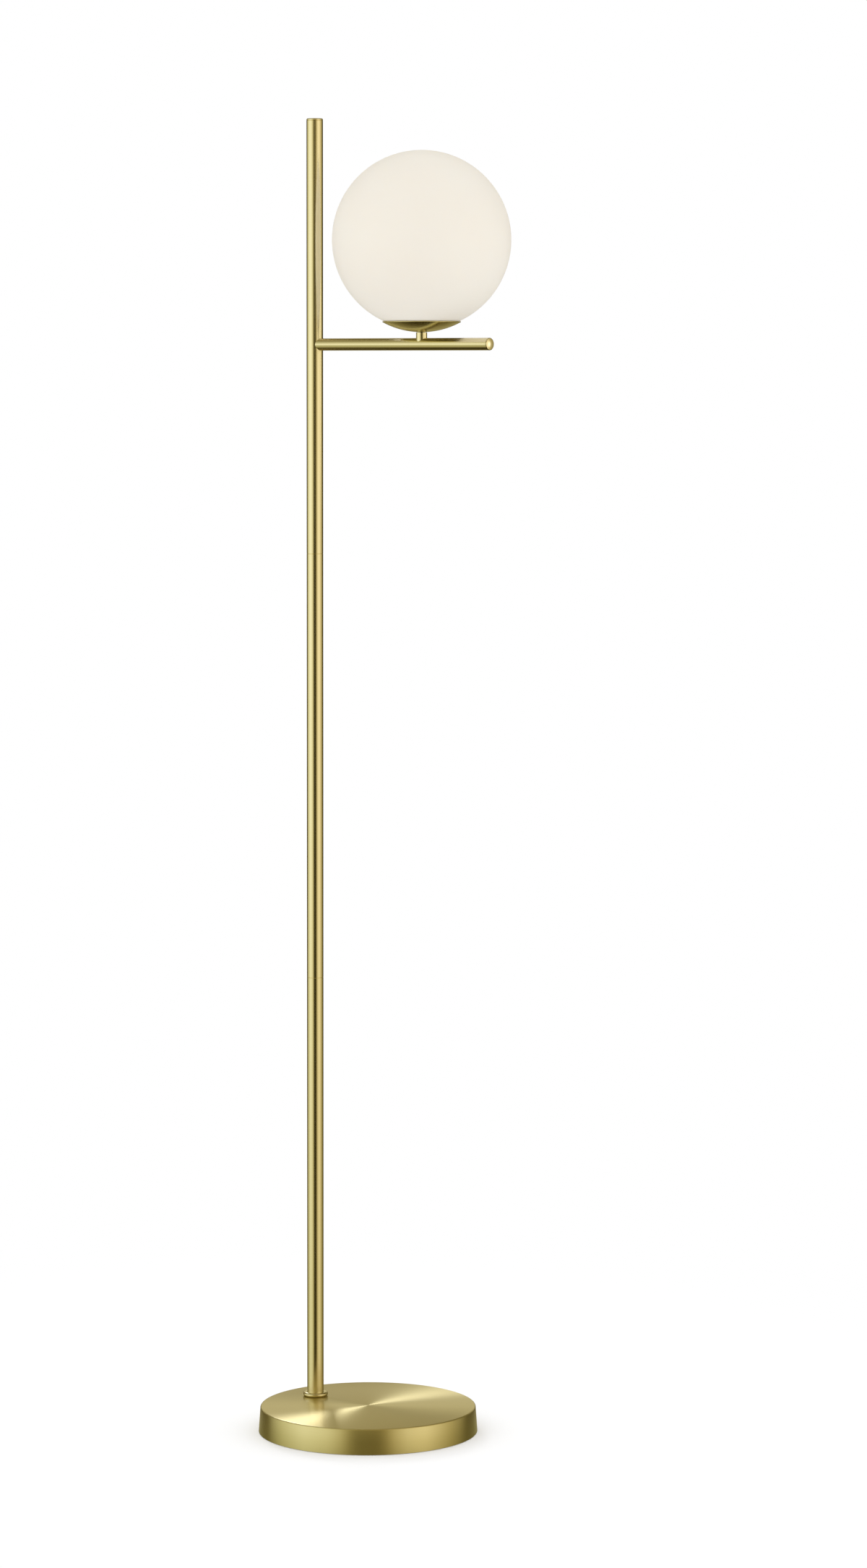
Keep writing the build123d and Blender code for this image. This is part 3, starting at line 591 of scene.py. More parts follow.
# -------------------- base
def base():
    foot, top = levels("base_cover")
    foot_radius = radius("base_cover")
    top_radius = foot_radius - base_taper
    bm = turned([
        (0, top), (top_radius, top), (foot_radius, foot), (foot_radius - cover_sheet, foot),
        (top_radius - cover_sheet, top - cover_sheet), (0, top - cover_sheet),
    ], BASE_STEPS)
    round_ring(bm, top_radius, top, cover_edge_round, 6)
    round_ring(bm, foot_radius, foot, sheet_edge_round, 2)
    cover = piece(bm, "brass_base_cover", base_brass, "stand", "base_cover")
    bush_low, bush_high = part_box("cord_bush")
    bush_z = (bush_low.z + bush_high.z) / 2
    drill(cover, (bush_low.x, 0, bush_z), bush_neck + fit_gap, ALONG_X)
    drill(cover, (pole_x, 0, top), nipple_radius + hole_margin)

    pad_radius = radius("floor_pad")
    pad_top = high("floor_pad").z
    bm = turned([(0, 0), (pad_radius, 0), (pad_radius, pad_top), (0, pad_top)], BASE_STEPS)
    round_ring(bm, pad_radius, 0, pad_foot_round, 2)
    round_ring(bm, pad_radius, pad_top, pad_top_round, 1)
    piece(bm, "foam_floor_pad", foam_pad, "stand", "floor_pad")

    length = bush_high.x - bush_low.x
    flange = (bush_high.z - bush_low.z) / 2
    bm = turned([
        (bush_bore, 0), (flange, 0), (flange, bush_flange_thickness),
        (bush_neck, bush_flange_thickness), (bush_neck, length), (bush_bore, length),
    ], SMALL_STEPS)
    round_ring(bm, flange, 0, bush_face_round)
    round_ring(bm, bush_bore, 0, bush_mouth_round)
    round_ring(bm, bush_neck, length, bush_end_round, 2)
    laid_along_x(bm, bush_low.x, bush_z)
    piece(bm, "cord_inlet_bush", black_plastic, "stand", "cord_bush")


def collar():
    bottom, top = levels("pole_collar")
    outer = radius("pole_collar")
    bm = tube_mesh(outer, pole_radius + fit_gap, bottom, top)
    round_ring(bm, outer, top, collar_round, 8)
    round_ring(bm, outer, bottom, collar_round, 8)
    piece(moved(bm, pole_x), "brass_foot_collar", foot_brass, "stand", "pole_collar")


# -------------------- pole
def pole():
    for node in ("lower_tube", "middle_tube", "upper_tube"):
        bottom, top = levels(node)
        bm = tube_mesh(pole_radius, pole_radius - tube_wall, bottom, top)
        round_ring(bm, pole_radius, bottom, seam_chamfer, 1)
        round_ring(bm, pole_radius, top, seam_chamfer, 1)
        section = piece(moved(bm, pole_x), "brass_" + node, pole_brass, "stand", node)
    # The lead goes into the arm through the last, uppermost section.
    drill(section, (pole_x + pole_radius, 0, arm_z), lead_hole, ALONG_X)

    foot, top = levels("pole_cap")
    seat = top - pole_cap_thickness
    plug = pole_radius - tube_wall - fit_gap
    bm = turned([
        (0, top), (pole_radius, top), (pole_radius, seat), (plug, seat), (plug, foot),
        (plug - pole_cap_thickness, foot), (plug - pole_cap_thickness, seat), (0, seat),
    ], TUBE_STEPS)
    round_ring(bm, pole_radius, top, pole_cap_round, 6)
    round_ring(bm, pole_radius, seat, seam_chamfer, 1)
    piece(moved(bm, pole_x), "brass_pole_cap", foot_brass, "stand", "pole_cap")


# -------------------- arm and stem
def arm():
    end = high("arm_tube").x
    bm = tube_mesh(arm_radius, arm_radius - tube_wall, 0, end - pole_x)
    round_ring(bm, arm_radius, end - pole_x, arm_seam, 1)
    laid_along_x(bm, pole_x, arm_z)
    cope(bm, 0, pole_x, pole_radius + fit_gap)
    piece(bm, "brass_arm_tube", arm_brass, "stand", "arm_tube")

    plug = arm_radius - tube_wall - fit_gap
    back = low("arm_end_cap").x - end
    face = high("arm_end_cap").x - end
    shoulder = face - arm_cap_dome
    flat = arm_radius - arm_cap_round
    swell = [(flat * step / 6, face - arm_cap_dome * (step / 6) ** 2) for step in range(6)]
    bm = turned(swell + eased([
        (flat, shoulder, 0), (arm_radius, shoulder, arm_cap_round), (arm_radius, 0, arm_seam),
        (plug, 0, 0), (plug, back, 0), (plug - arm_cap_thickness, back, 0),
        (plug - arm_cap_thickness, 0, 0), (0, 0, 0),
    ], 6), TUBE_STEPS)
    laid_along_x(bm, end, arm_z)
    piece(bm, "brass_arm_end_cap", cap_brass, "stand", "arm_end_cap")

    bm = tube_mesh(radius("globe_stem"), stem_bore, arm_z, high("globe_stem").z)
    cope(bm, 2, arm_z, arm_radius + fit_gap)
    piece(moved(bm, globe_x), "brass_globe_stem", pole_brass, "stand", "globe_stem")


# -------------------- dish and globe
def dish_curves():
    """Radius of the sphere of the dish's underside, and of its inside."""
    outer = (radius("dish") ** 2 + dish_depth ** 2) / (2 * dish_depth)
    return outer, outer - dish_wall


def cap_points(curve, lowest, inner, outer, count=24):
    """Points of a spherical cap's profile, evenly spaced by angle."""
    first, last = math.asin(inner / curve), math.asin(outer / curve)
    angles = [first + (last - first) * step / count for step in range(count + 1)]
    return [(curve * math.sin(a), lowest + curve * (1 - math.cos(a))) for a in angles]


def dish():
    rim = radius("dish")
    bottom = low("dish").z
    hole = nipple_radius + hole_margin
    curve, inner_curve = dish_curves()
    under = cap_points(curve, bottom, hole, rim)
    inside = cap_points(inner_curve, bottom + dish_wall, hole, rim * inner_curve / curve)
    bm = turned(under + inside[::-1], GLASS_STEPS)
    round_ring(bm, *under[-1], dish_rim_round, 3)
    round_ring(bm, *inside[-1], dish_rim_round, 3)
    piece(moved(bm, globe_x), "brass_dish", dish_brass, "stand", "dish")


def globe():
    walls = []
    mouths = []
    for shell in (globe_radius, globe_radius - globe_wall):
        bm = bmesh.new()
        bmesh.ops.create_uvsphere(
            bm, u_segments=GLASS_STEPS, v_segments=GLASS_ROWS, radius=shell,
        )
        mouths.append(-math.sqrt(shell ** 2 - globe_opening ** 2))
        cut_level(bm, mouths[-1], -UP)
        walls.append(bm)
    bm = joined(*walls)
    bmesh.ops.bridge_loops(bm, edges=[edge for edge in bm.edges if edge.is_boundary])
    bmesh.ops.recalc_face_normals(bm, faces=bm.faces)
    for mouth in mouths:
        round_ring(bm, globe_opening, mouth, globe_edge_round)
    piece(moved(bm, globe_x, globe_z), "opal_globe", opal_glass, "globe", "globe")


# -------------------- threads
def threaded_skin(crest, depth, pitch, bottom, top, steps=48, rows=10):
    """Helical skin of a right-hand thread, cut level at both ends.

    The helix always passes the same place in a full pitch of height, so two threads that fit in
    each other are in phase.
    """
    bm = bmesh.new()
    start = (math.floor(bottom / pitch) - 2) * pitch
    count = rows * (math.ceil((top - start) / pitch) + 1)
    verts = []
    for row in range(count + 1):
        wave = (1 - math.cos(FULL_TURN * row / rows)) / 2
        verts.append(bm.verts.new((crest - depth * wave, 0, start + pitch * row / rows)))
    edges = [bm.edges.new(pair) for pair in zip(verts, verts[1:])]
    bmesh.ops.spin(
        bm, geom=verts + edges, cent=(0, 0, 0), axis=UP, dvec=(0, 0, pitch / steps),
        angle=FULL_TURN, steps=steps, use_merge=False,
    )
    bmesh.ops.remove_doubles(bm, verts=bm.verts, dist=SAME_PLACE)
    cut_level(bm, bottom, -UP)
    cut_level(bm, top, UP)
    return bm


def open_rim(bm, height):
    """The open edges of a skin at a height."""
    def at_height(edge):
        return all(abs(vert.co.z - height) < SAME_PLACE for vert in edge.verts)
    return [edge for edge in bm.edges if edge.is_boundary and at_height(edge)]


def carry_on(bm, height, *rings):
    """Carries the skin on from its open rim at a height, through rings of (radius, height)."""
    rim = open_rim(bm, height)
    for ring_radius, ring_height in rings:
        grown = bmesh.ops.extrude_edge_only(bm, edges=rim)["geom"]
        rim = [item for item in grown if isinstance(item, bmesh.types.BMEdge)]
        for vert in {vert for edge in rim for vert in edge.verts}:
            flat = Vector((vert.co.x, vert.co.y)).normalized() * ring_radius
            vert.co = (flat.x, flat.y, ring_height)
    return rim


def closed_skin(bm, lower, upper):
    """Joins a skin's two rims."""
    bmesh.ops.bridge_loops(bm, edges=lower + upper)
    bmesh.ops.recalc_face_normals(bm, faces=bm.faces)
    return bm


def hollow_threads():
    """The hollow threads that hold the lamp together, with their thread cut in."""
    for node, x in (("foot_nipple", pole_x), ("stem_nipple", globe_x)):
        bottom, top = levels(node)
        lead = nipple_thread_depth * nipple_lead_share
        root = nipple_radius - nipple_thread_depth - thread_relief
        bm = threaded_skin(
            nipple_radius, nipple_thread_depth, nipple_pitch, bottom + lead, top - lead,
        )
        lower = carry_on(bm, bottom + lead, (root, bottom), (nipple_bore, bottom))
        upper = carry_on(bm, top - lead, (root, top), (nipple_bore, top))
        closed_skin(bm, lower, upper)
        piece(moved(bm, x), "threaded_" + node, zinc_steel, "stand", node)
    for node in ("lower_joint_spigot", "upper_joint_spigot"):
        bottom, top = levels(node)
        shoulder = bottom + spigot_thread
        seat = radius(node)
        lead = spigot_chamfer
        root = spigot_radius - nipple_thread_depth - thread_relief
        bm = threaded_skin(
            spigot_radius, nipple_thread_depth, nipple_pitch, bottom + lead, shoulder - lead,
        )
        lower = carry_on(bm, bottom + lead, (root, bottom), (spigot_bore, bottom))
        upper = carry_on(
            bm, shoulder - lead, (root, shoulder - thread_relief), (root, shoulder),
            (seat - lead, shoulder), (seat, shoulder + lead), (seat, top - lead),
            (seat - lead, top), (spigot_bore, top),
        )
        closed_skin(bm, lower, upper)
        piece(moved(bm, pole_x), "threaded_" + node, turned_brass, "stand", node)


def nuts_and_washers():
    """Hexagon nuts with turned chamfers, and washers with eased edges."""
    for node, x in (("foot_nut", pole_x), ("gallery_nut", globe_x)):
        bottom, top = levels(node)
        middle, half = (top + bottom) / 2, (top - bottom) / 2
        across = high(node).y
        corner = high(node).x - x
        bm = bmesh.new()
        hexagon = across / math.cos(math.pi / 6)
        bmesh.ops.create_cone(
            bm, cap_ends=True, segments=6, radius1=hexagon, radius2=hexagon, depth=top - bottom,
            matrix=Matrix.Rotation(math.pi / 6, 4, "Z"),
        )
        nut = piece(moved(bm, x, middle), "hexagon_" + node, zinc_steel, "stand", node)
        face = across * nut_face_share
        trim = turned([
            (0, -half), (face, -half), (corner, -half + nut_chamfer),
            (corner, half - nut_chamfer), (face, half), (0, half),
        ], SMALL_STEPS)
        cut_with(nut, moved(trim, x, middle), "INTERSECT")
        drill(nut, (x, 0, middle), nipple_radius + fit_gap)
    for node, x, finish in (
        ("foot_lock_washer", pole_x, spring_steel), ("gallery_lock_washer", globe_x, spring_steel),
        ("foot_washer", pole_x, zinc_steel),
    ):
        bm = washer_mesh(
            nipple_radius + hole_margin, radius(node), *levels(node), fine_ease, fine_ease,
            SMALL_STEPS, 3,
        )
        piece(moved(bm, x), "stamped_" + node, finish, "stand", node)


# -------------------- gallery and clips
def gallery():
    seat = low("dish").z
    curve, floor_curve = dish_curves()
    under, over = floor_curve - gasket_glue, globe_radius + running_gap
    spread = [gasket_inner + (gasket_outer - gasket_inner) * step / 12 for step in range(13)]
    lower = [(r, seat + curve - math.sqrt(under ** 2 - r ** 2)) for r in spread]
    upper = [(r, globe_z - math.sqrt(over ** 2 - r ** 2)) for r in spread]
    bm = turned(lower + upper[::-1], BASE_STEPS)
    piece(moved(bm, globe_x), "silicone_globe_gasket", clear_silicone, "stand", "globe_gasket")

    plate = radius("gallery_plate")
    plate_bottom, plate_top = levels("gallery_plate")
    bore = nipple_radius + hole_margin
    bm = washer_mesh(
        bore, plate, plate_bottom, plate_top, plate_bore_ease, soft_ease, TUBE_STEPS,
    )
    piece(moved(bm, globe_x), "stamped_gallery_plate", zinc_steel, "stand", "gallery_plate")
    bm = washer_mesh(
        bore, radius("dish_spacer"), *levels("dish_spacer"), fine_ease, soft_ease, SMALL_STEPS,
    )
    piece(moved(bm, globe_x), "turned_dish_spacer", turned_brass, "stand", "dish_spacer")

    face = high("globe_clips").x - globe_x
    clip_top = high("globe_clips").z - clip_lead_in
    bend = seat + curve - math.sqrt(floor_curve ** 2 - globe_opening ** 2) + clip_bend_lift
    path = [
        (plate - clip_foot, plate_top), (plate, plate_top), (face, bend), (face, clip_top),
        (face - clip_lead_in, clip_top + clip_lead_in),
    ]
    under_head = plate_top + clip_sheet
    head_top = high("clip_rivets").z
    rim = under_head + rivet_rim
    dome = [
        (rivet_head * math.cos(a), rim + (head_top - rim) * math.sin(a)) for a in quarter_arc(8)
    ]
    rivet = [
        (0, plate_top), (rivet_shank, plate_top), (rivet_shank, under_head),
        (rivet_head, under_head), *dome[:-1], (0, head_top),
    ]
    to_rivet = Matrix.Translation((plate - clip_foot / 2, 0, 0))
    clips, rivets = bmesh.new(), bmesh.new()
    for index in range(clip_count):
        turn = Matrix.Rotation(FULL_TURN * index / clip_count, 4, "Z")
        joined(clips, one_clip(path, turn))
        bm = turned(rivet, RIVET_STEPS)
        bmesh.ops.transform(bm, matrix=turn @ to_rivet, verts=bm.verts)
        joined(rivets, bm)
    piece(moved(clips, globe_x), "spring_globe_clips", spring_steel, "stand", "globe_clips")
    piece(moved(rivets, globe_x), "domed_clip_rivets", nickel, "stand", "clip_rivets")


def one_clip(path, turn):
    """Bent spring clip: a strip along a path of (radius, height), ends rounded, bends eased."""
    bm = bmesh.new()
    verts = [bm.verts.new((r, -clip_width / 2, z)) for r, z in path]
    edges = [bm.edges.new(pair) for pair in zip(verts, verts[1:])]
    grown = bmesh.ops.extrude_edge_only(bm, edges=edges)["geom"]
    far_side = [item for item in grown if isinstance(item, bmesh.types.BMVert)]
    bmesh.ops.translate(bm, vec=(0, clip_width, 0), verts=far_side)
    bends = [edge for edge in bm.edges if len(edge.link_faces) == 2]
    bmesh.ops.bevel(
        bm, geom=bends, offset=clip_bend_round, affect="EDGES", segments=6, profile=0.5,
        material=-1, clamp_overlap=True,
    )
    corners = [vert for vert in bm.verts if len(vert.link_faces) == 1]
    bmesh.ops.bevel(
        bm, geom=corners, offset=clip_end_round, affect="VERTICES", segments=6, profile=0.5,
        material=-1, clamp_overlap=True,
    )
    bmesh.ops.recalc_face_normals(bm, faces=bm.faces)
    foot = min(bm.faces, key=lambda face: face.calc_center_median().x)
    if foot.normal.z < 0:
        bmesh.ops.reverse_faces(bm, faces=bm.faces)
    bmesh.ops.solidify(bm, geom=bm.faces[:], thickness=-clip_sheet)
    bmesh.ops.recalc_face_normals(bm, faces=bm.faces)
    bmesh.ops.transform(bm, matrix=turn, verts=bm.verts)
    return bm


# -------------------- lampholder
def lampholder():
    bottom, top = levels("holder_cap")
    outer = radius("holder_cap")
    inner = outer - holder_wall
    flare = bottom + holder_boss_height
    bore = nipple_radius + fit_gap
    narrow = bore + holder_boss_wall
    swell = [(math.sin(a) ** 2, a / QUARTER_TURN) for a in quarter_arc(12)]
    outside = [(holder_boss_radius + (outer - holder_boss_radius) * out,
                flare + holder_flare_height * up) for out, up in swell]
    inside = [(narrow + (inner - narrow) * out, flare + holder_wall + holder_flare_height * up)
              for out, up in swell]
    bm = turned(
        eased([(bore, bottom, 0), (holder_boss_radius, bottom, holder_edge), (*outside[0], 0)])
        + outside[1:]
        + [(outer, top - holder_edge), (outer - holder_step, top), (inner, top)]
        + inside[::-1] + [(bore, flare + holder_wall)],
        TUBE_STEPS,
    )
    piece(moved(bm, globe_x), "moulded_holder_cap", white_plastic, "stand", "holder_cap")

    bottom, top = levels("holder_body")
    wall = [(outer - holder_step, bottom), (outer, bottom + holder_edge)]
    for height in groove_heights:
        middle = bottom + height
        wall += [
            (outer, middle - groove_size), (outer - groove_size, middle - groove_size / 2),
            (outer - groove_size, middle + groove_size / 2), (outer, middle + groove_size),
        ]
    bm = turned(wall + eased([
        (outer, top - holder_smooth_top, 0), (outer, top, holder_mouth_round),
        (inner - holder_lip, top, holder_edge),
        (inner - holder_lip, top - holder_lip, soft_ease),
        (inner, top - 2 * holder_lip, soft_ease), (inner, bottom, 0),
    ]), TUBE_STEPS)
    piece(moved(bm, globe_x), "moulded_holder_body", white_plastic, "stand", "holder_body")

    ends = levels("holder_shell")
    thread = (lamp_thread_depth, lamp_pitch, *ends, *lamp_thread_steps)
    bm = threaded_skin(lamp_shell_bore, *thread)
    joined(bm, threaded_skin(lamp_shell_bore + lamp_shell_wall, *thread))
    for height in ends:
        bmesh.ops.bridge_loops(bm, edges=open_rim(bm, height))
    bmesh.ops.recalc_face_normals(bm, faces=bm.faces)
    piece(moved(bm, globe_x), "rolled_holder_shell", turned_brass, "stand", "holder_shell")

    bottom, top = levels("holder_contact")
    disc = radius("holder_contact")
    bm = turned(eased([
        (0, bottom, 0), (disc, bottom, fine_ease), (disc, bottom + contact_sheet, soft_ease),
        (disc / 2, top, wide_ease), (0, top, 0),
    ]), SMALL_STEPS)
    piece(moved(bm, globe_x), "sprung_holder_contact", turned_brass, "stand", "holder_contact")


# -------------------- bulb
def bulb():
    bottom, top = levels("bulb_contact")
    pip = radius("bulb_contact")
    bm = turned(eased([
        (0, bottom, 0), (pip * pip_flat_share, bottom, soft_ease),
        (pip, bottom + pip_round, wide_ease), (pip, top, pip_top_ease), (0, top, 0),
    ]), SMALL_STEPS)
    piece(moved(bm, globe_x), "soldered_bulb_contact", nickel, "bulb_carrier", "bulb_contact")

    bottom, top = levels("bulb_insulator")
    out, up = insulator_step
    bm = turned(eased([
        (0, bottom, 0), (pip, bottom, fine_ease), (pip + out, bottom + up, wide_ease),
        (radius("bulb_insulator"), top, fine_ease), (0, top, 0),
    ]), SMALL_STEPS)
    piece(moved(bm, globe_x), "glazed_bulb_insulator", black_plastic, "bulb", "bulb_insulator")

    bottom, top = levels("bulb_cap")
    crest = lamp_shell_bore - running_gap
    thread_end = top - bulb_collar_height
    start = bottom + bulb_cap_wall
    bm = threaded_skin(
        crest, lamp_thread_depth, lamp_pitch, start, thread_end, *lamp_thread_steps,
    )
    foot = crest - bulb_cap_wall
    collar_radius = crest - bulb_collar_inset
    lower = carry_on(
        bm, start, (foot - bulb_cap_foot[0], bottom + bulb_cap_foot[1]),
        (foot - 2 * bulb_cap_foot[0], bottom),
    )
    upper = carry_on(
        bm, thread_end, (crest - bulb_cap_bend[0], thread_end + bulb_cap_bend[1]),
        (collar_radius, thread_end + 2 * bulb_cap_bend[1]), (collar_radius, top),
    )
    for rim in (lower, upper):
        bmesh.ops.contextual_create(bm, geom=rim)
    bmesh.ops.recalc_face_normals(bm, faces=bm.faces)
    piece(moved(bm, globe_x), "rolled_bulb_cap", nickel, "bulb", "bulb_cap")

    bottom, top = levels("bulb_housing")
    shoulder = radius("bulb_housing")
    side = []
    for step in range(25):
        share = step / 24
        widening = share * housing_widening[0] + share ** 2 * housing_widening[1]
        side.append((
            housing_neck + (shoulder - housing_neck) * widening, bottom + (top - bottom) * share,
        ))
    bm = turned(
        eased([(0, bottom, 0), (housing_neck, bottom, wide_ease), (*side[1], 0)])
        + side[2:-2]
        + eased([
            (*side[-2], 0), (shoulder, top - wide_ease, soft_ease),
            (shoulder - wide_ease, top, 0), (0, top, 0),
        ]),
        HOUSING_STEPS,
    )
    piece(moved(bm, globe_x), "moulded_bulb_housing", white_plastic, "bulb", "bulb_housing")

    dome = radius("bulb_dome")
    foot, top = levels("bulb_dome")
    middle = top - dome
    arcs = []
    for shell in (dome, dome - dome_wall):
        last = math.acos((foot - middle) / shell)
        angles = [last * step / 48 for step in range(49)]
        arcs.append([(shell * math.sin(a), middle + shell * math.cos(a)) for a in angles])
    bm = turned(arcs[0] + arcs[1][::-1], DOME_STEPS)
    piece(moved(bm, globe_x), "frosted_bulb_dome", frosted_dome, "bulb", "bulb_dome")


# -------------------- pieces kept from the frame
def dress_kept_nodes():
    """Gives each CAD node that still shows the finish of its material slot."""
    finishes = {slot: material for material, slot in (
        foot_brass, cast_iron, zinc_steel, turned_brass, spring_steel, foam_pad, black_plastic,
        white_plastic, clear_silicone, frosted_dome, nickel, lead_sheath,
    )}
    for part in frame["record"]["subparts"]:
        kept = frame["nodes"][part["node"]]
        if not kept.hide_render:
            kept.data.materials.clear()
            kept.data.materials.append(finishes[part["material_slot"]])


base()
collar()
pole()
arm()
dish()
globe()
hollow_threads()
nuts_and_washers()
gallery()
lampholder()
bulb()
dress_kept_nodes()

# -------------------- camera
view_turn = math.radians(39.814)
camera_distance = 5.3839
camera_step_right = 0.0748
camera_height = 1.22406
camera_tilt = math.radians(1.4)
# Rows of the photo's frame: all of them, and the one that the tilted lens looks straight at.
frame_height = 2169
middle_row = 657.1

to_right = Vector((math.cos(view_turn), math.sin(view_turn), 0))
to_camera = Vector((math.sin(view_turn), -math.cos(view_turn), 0))

camera_data = bpy.data.cameras.new("camera")
camera_data.sensor_width = 36.0
camera_data.sensor_fit = "AUTO"
camera_data.lens = 108.695
camera_data.shift_y = (middle_row - frame_height / 2) / frame_height
camera = bpy.data.objects.new("camera", camera_data)
camera.location = to_right * camera_step_right + to_camera * camera_distance + UP * camera_height
camera.rotation_euler = (QUARTER_TURN - camera_tilt, 0, view_turn)
bpy.context.scene.collection.objects.link(camera)
bpy.context.scene.camera = camera

# -------------------- studio
# What the metal mirrors, by degrees from the camera's side, positive to the right: a wide softbox
# on each side with a dimmer lane between them, then dark walls and the backdrop.
SURROUNDINGS = [
    (-180, "#C2BB9F"), (-152, "#8C8566"), (-132, "#7A724E"), (-104, "#D0D0B8"), (-72, "#FAFDF6"),
    (-44, "#EFEFE0"), (-20, "#BDB48C"), (20, "#B4A77C"), (44, "#EFE7D2"), (64, "#FAF1DC"),
    (96, "#BFB490"), (128, "#6E6644"), (152, "#8C8566"), (180, "#C2BB9F"),
]
# Brightness by elevation in degrees: the dim floor side, the softboxes, then the ceiling.
HEIGHTS = [
    (-90, "#30280E"), (-52, "#3A3216"), (-44, "#7E7656"), (-29, "#B8B290"), (-14, "#BCBA9A"),
    (-8, "#EEEBD8"), (-2, "#FFFFFF"), (5, "#F8F5E8"), (18, "#D6D2BE"), (31, "#B4AE94"),
    (40, "#A49C80"), (52, "#B4AD94"), (90, "#B4AD94"),
]
SURROUND_STRENGTH = 1.42
# Two dark shapes at eye level, each with its edges in degrees aside, its foot and its top: the one
# where the camera stands, and the dark room behind the lamp, which lines the tubes' edges.
CAMERA_SHAPE = {"aside": (9, 30), "near": 1, "foot": (-30, -12), "top": (1, 10)}
BACK_SHAPE = {"aside": (116, 138), "near": 0, "foot": (-13, -6), "top": (2, 7)}
CAMERA_COLOUR = "#1A1600"
BACK_COLOUR = "#3C3420"
# The floor: its paint, the extra light that the camera sees on it, and the distances between which
# it fades to white.
FLOOR_RADIUS = 40.0
FLOOR_PAINT = "#E7E7E7"
FLOOR_GLOW = 0.2
FLOOR_FADE = (0.35, 1.2)
WHITE = (1, 1, 1, 1)


def fill_ramp(node, stops, end):
    """Sets a colour ramp's stops, each at a number from minus end to end."""
    ramp = node.color_ramp
    while len(ramp.elements) < len(stops):
        ramp.elements.new(0.5)
    for element, (place, code) in zip(ramp.elements, stops):
        element.position = (place + end) / (2 * end)
        element.color = linear(code)


def between(tree, value, degrees, start, end):
    """Goes smoothly from one number to another over a range of degrees."""
    fade = add_node(tree, "MapRange", {
        "Value": value, "From Min": math.radians(degrees[0]), "From Max": math.radians(degrees[1]),
        "To Min": start, "To Max": end,
    }, interpolation_type="SMOOTHSTEP")
    return fade.outputs["Result"]


def along_ramp(tree, angle, stops, end):
    """The colour of the stops at an angle, which runs from minus end to end in degrees."""
    share = add_node(tree, "MapRange", {
        "Value": angle, "From Min": -math.radians(end), "From Max": math.radians(end),
    })
    ramp = add_node(tree, "ValToRGB", {"Fac": share.outputs["Result"]})
    fill_ramp(ramp, stops, end)
    return ramp.outputs["Color"]


def studio_world():
    """Plain white light for all that is matt, and the studio's own shapes for what mirrors."""
    world = bpy.data.worlds.new("studio")
    bpy.context.scene.world = world
    world.use_nodes = True
    tree = world.node_tree
    tree.nodes.clear()
    way = add_node(tree, "TexCoord").outputs["Generated"]
    sideways = add_node(tree, "VectorMath", {0: way, 1: to_right}, operation="DOT_PRODUCT")
    towards = add_node(tree, "VectorMath", {0: way, 1: to_camera}, operation="DOT_PRODUCT")
    azimuth = add_node(tree, "Math", {
        0: sideways.outputs["Value"], 1: towards.outputs["Value"],
    }, operation="ARCTAN2").outputs[0]
    height = add_node(tree, "SeparateXYZ", {0: way}).outputs["Z"]
    rise = add_node(tree, "Math", {0: height}, operation="ARCSINE").outputs[0]
    seen = add_node(tree, "MixRGB", {
        "Fac": 1.0, "Color1": along_ramp(tree, azimuth, SURROUNDINGS, 180),
        "Color2": along_ramp(tree, rise, HEIGHTS, 90),
    }, blend_type="MULTIPLY")
    aside = add_node(tree, "Math", {0: azimuth}, operation="ABSOLUTE").outputs[0]
    for shape, colour in ((BACK_SHAPE, BACK_COLOUR), (CAMERA_SHAPE, CAMERA_COLOUR)):
        sides = between(tree, aside, shape["aside"], shape["near"], 1 - shape["near"])
        foot = between(tree, rise, shape["foot"], 0, 1)
        top = between(tree, rise, shape["top"], 1, 0)
        band = add_node(tree, "Math", {0: foot, 1: top}, operation="MULTIPLY")
        mask = add_node(tree, "Math", {0: sides, 1: band.outputs[0]}, operation="MULTIPLY")
        seen = add_node(tree, "MixRGB", {
            "Fac": mask.outputs[0], "Color1": seen.outputs["Color"], "Color2": linear(colour),
        })
    studio = add_node(tree, "Background", {
        "Color": seen.outputs["Color"], "Strength": SURROUND_STRENGTH,
    })
    white = add_node(tree, "Background", {"Color": WHITE, "Strength": 1.0})
    rays = add_node(tree, "LightPath")
    mixed = add_node(tree, "MixShader", {
        0: rays.outputs["Is Glossy Ray"], 1: white.outputs[0], 2: studio.outputs[0],
    })
    add_node(tree, "OutputWorld", {"Surface": mixed.outputs[0]})
    world.cycles.sampling_method = "NONE"


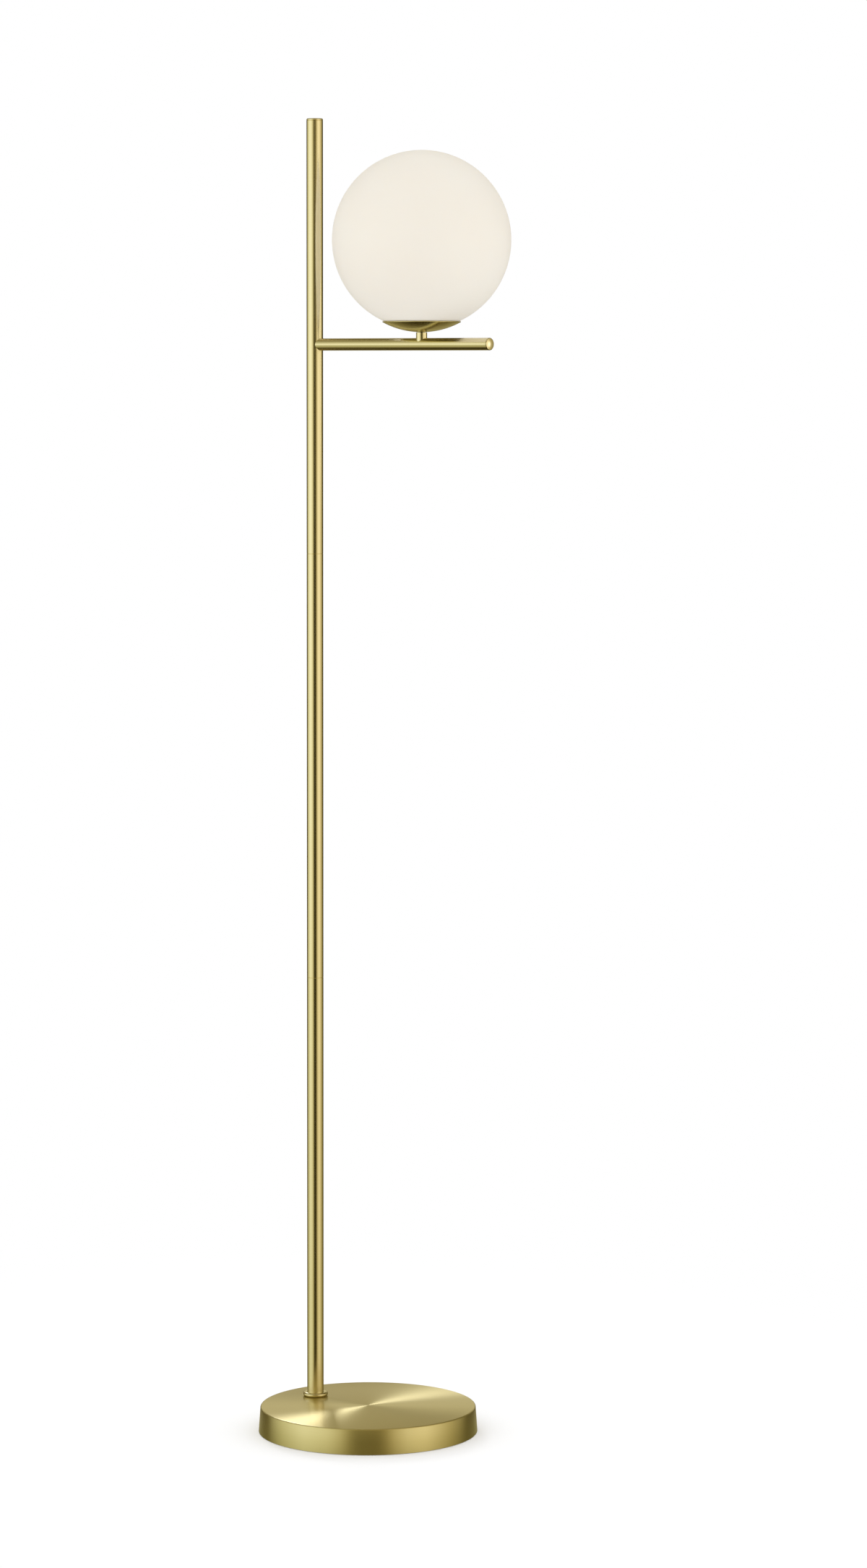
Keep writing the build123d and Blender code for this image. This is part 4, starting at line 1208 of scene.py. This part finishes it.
def floor():
    """Pale floor: it keeps the lamp's shadow, and fades to the white background further out."""
    bm = bmesh.new()
    bmesh.ops.create_circle(bm, cap_ends=True, segments=TUBE_STEPS, radius=FLOOR_RADIUS)
    mesh = bpy.data.meshes.new("studio_floor")
    bm.to_mesh(mesh)
    bm.free()
    ground = bpy.data.objects.new("studio_floor", mesh)
    bpy.context.scene.collection.objects.link(ground)
    ground.visible_glossy = False
    made = bpy.data.materials.new("pale_studio_floor")
    made.use_nodes = True
    tree = made.node_tree
    tree.nodes.clear()
    place = add_node(tree, "TexCoord").outputs["Object"]
    distance = add_node(tree, "VectorMath", {0: place}, operation="LENGTH")
    far = add_node(tree, "MapRange", {
        "Value": distance.outputs["Value"], "From Min": FLOOR_FADE[0], "From Max": FLOOR_FADE[1],
    }, interpolation_type="SMOOTHSTEP")
    rays = add_node(tree, "LightPath")
    glow = add_node(tree, "Math", {0: rays.outputs["Is Camera Ray"], 1: FLOOR_GLOW},
                    operation="MULTIPLY")
    paint = add_node(tree, "BsdfDiffuse", {"Color": linear(FLOOR_PAINT)})
    lift = add_node(tree, "Emission", {"Color": WHITE, "Strength": glow.outputs[0]})
    near = add_node(tree, "AddShader", {0: paint.outputs[0], 1: lift.outputs[0]})
    white = add_node(tree, "Emission", {"Color": WHITE, "Strength": 1.0})
    mixed = add_node(tree, "MixShader", {
        0: far.outputs["Result"], 1: near.outputs[0], 2: white.outputs[0],
    })
    add_node(tree, "OutputMaterial", {"Surface": mixed.outputs[0]})
    mesh.materials.append(made)


def softbox(name, place, target, size, power, spread):
    """Square area light with a grid that narrows its beam, aimed at a target."""
    data = bpy.data.lights.new(name, "AREA")
    data.size = size
    data.energy = power
    data.spread = math.radians(spread)
    light = bpy.data.objects.new(name, data)
    light.location = place
    light.rotation_euler = (place - target).to_track_quat("Z", "Y").to_euler()
    bpy.context.scene.collection.objects.link(light)


studio_world()
floor()
# High behind the lamp: it lights the two wedges on the base.
high_back = to_right * -0.63 - to_camera * 2.33 + UP * 1.69
softbox("high_back_softbox", high_back, Vector((0, 0, 0)), size=0.6, power=0.36, spread=34)
# A small one stands where the arm's end cap mirrors it.
arm_tip = Vector((high("arm_end_cap").x, 0, arm_z))
beside_arm = arm_tip + Vector((to_camera.x, -to_camera.y, 0)) * 0.9 + to_camera * 0.1
softbox("arm_tip_softbox", beside_arm, arm_tip, size=0.34, power=0.006, spread=20)

bpy.context.scene.view_settings.view_transform = "Standard"
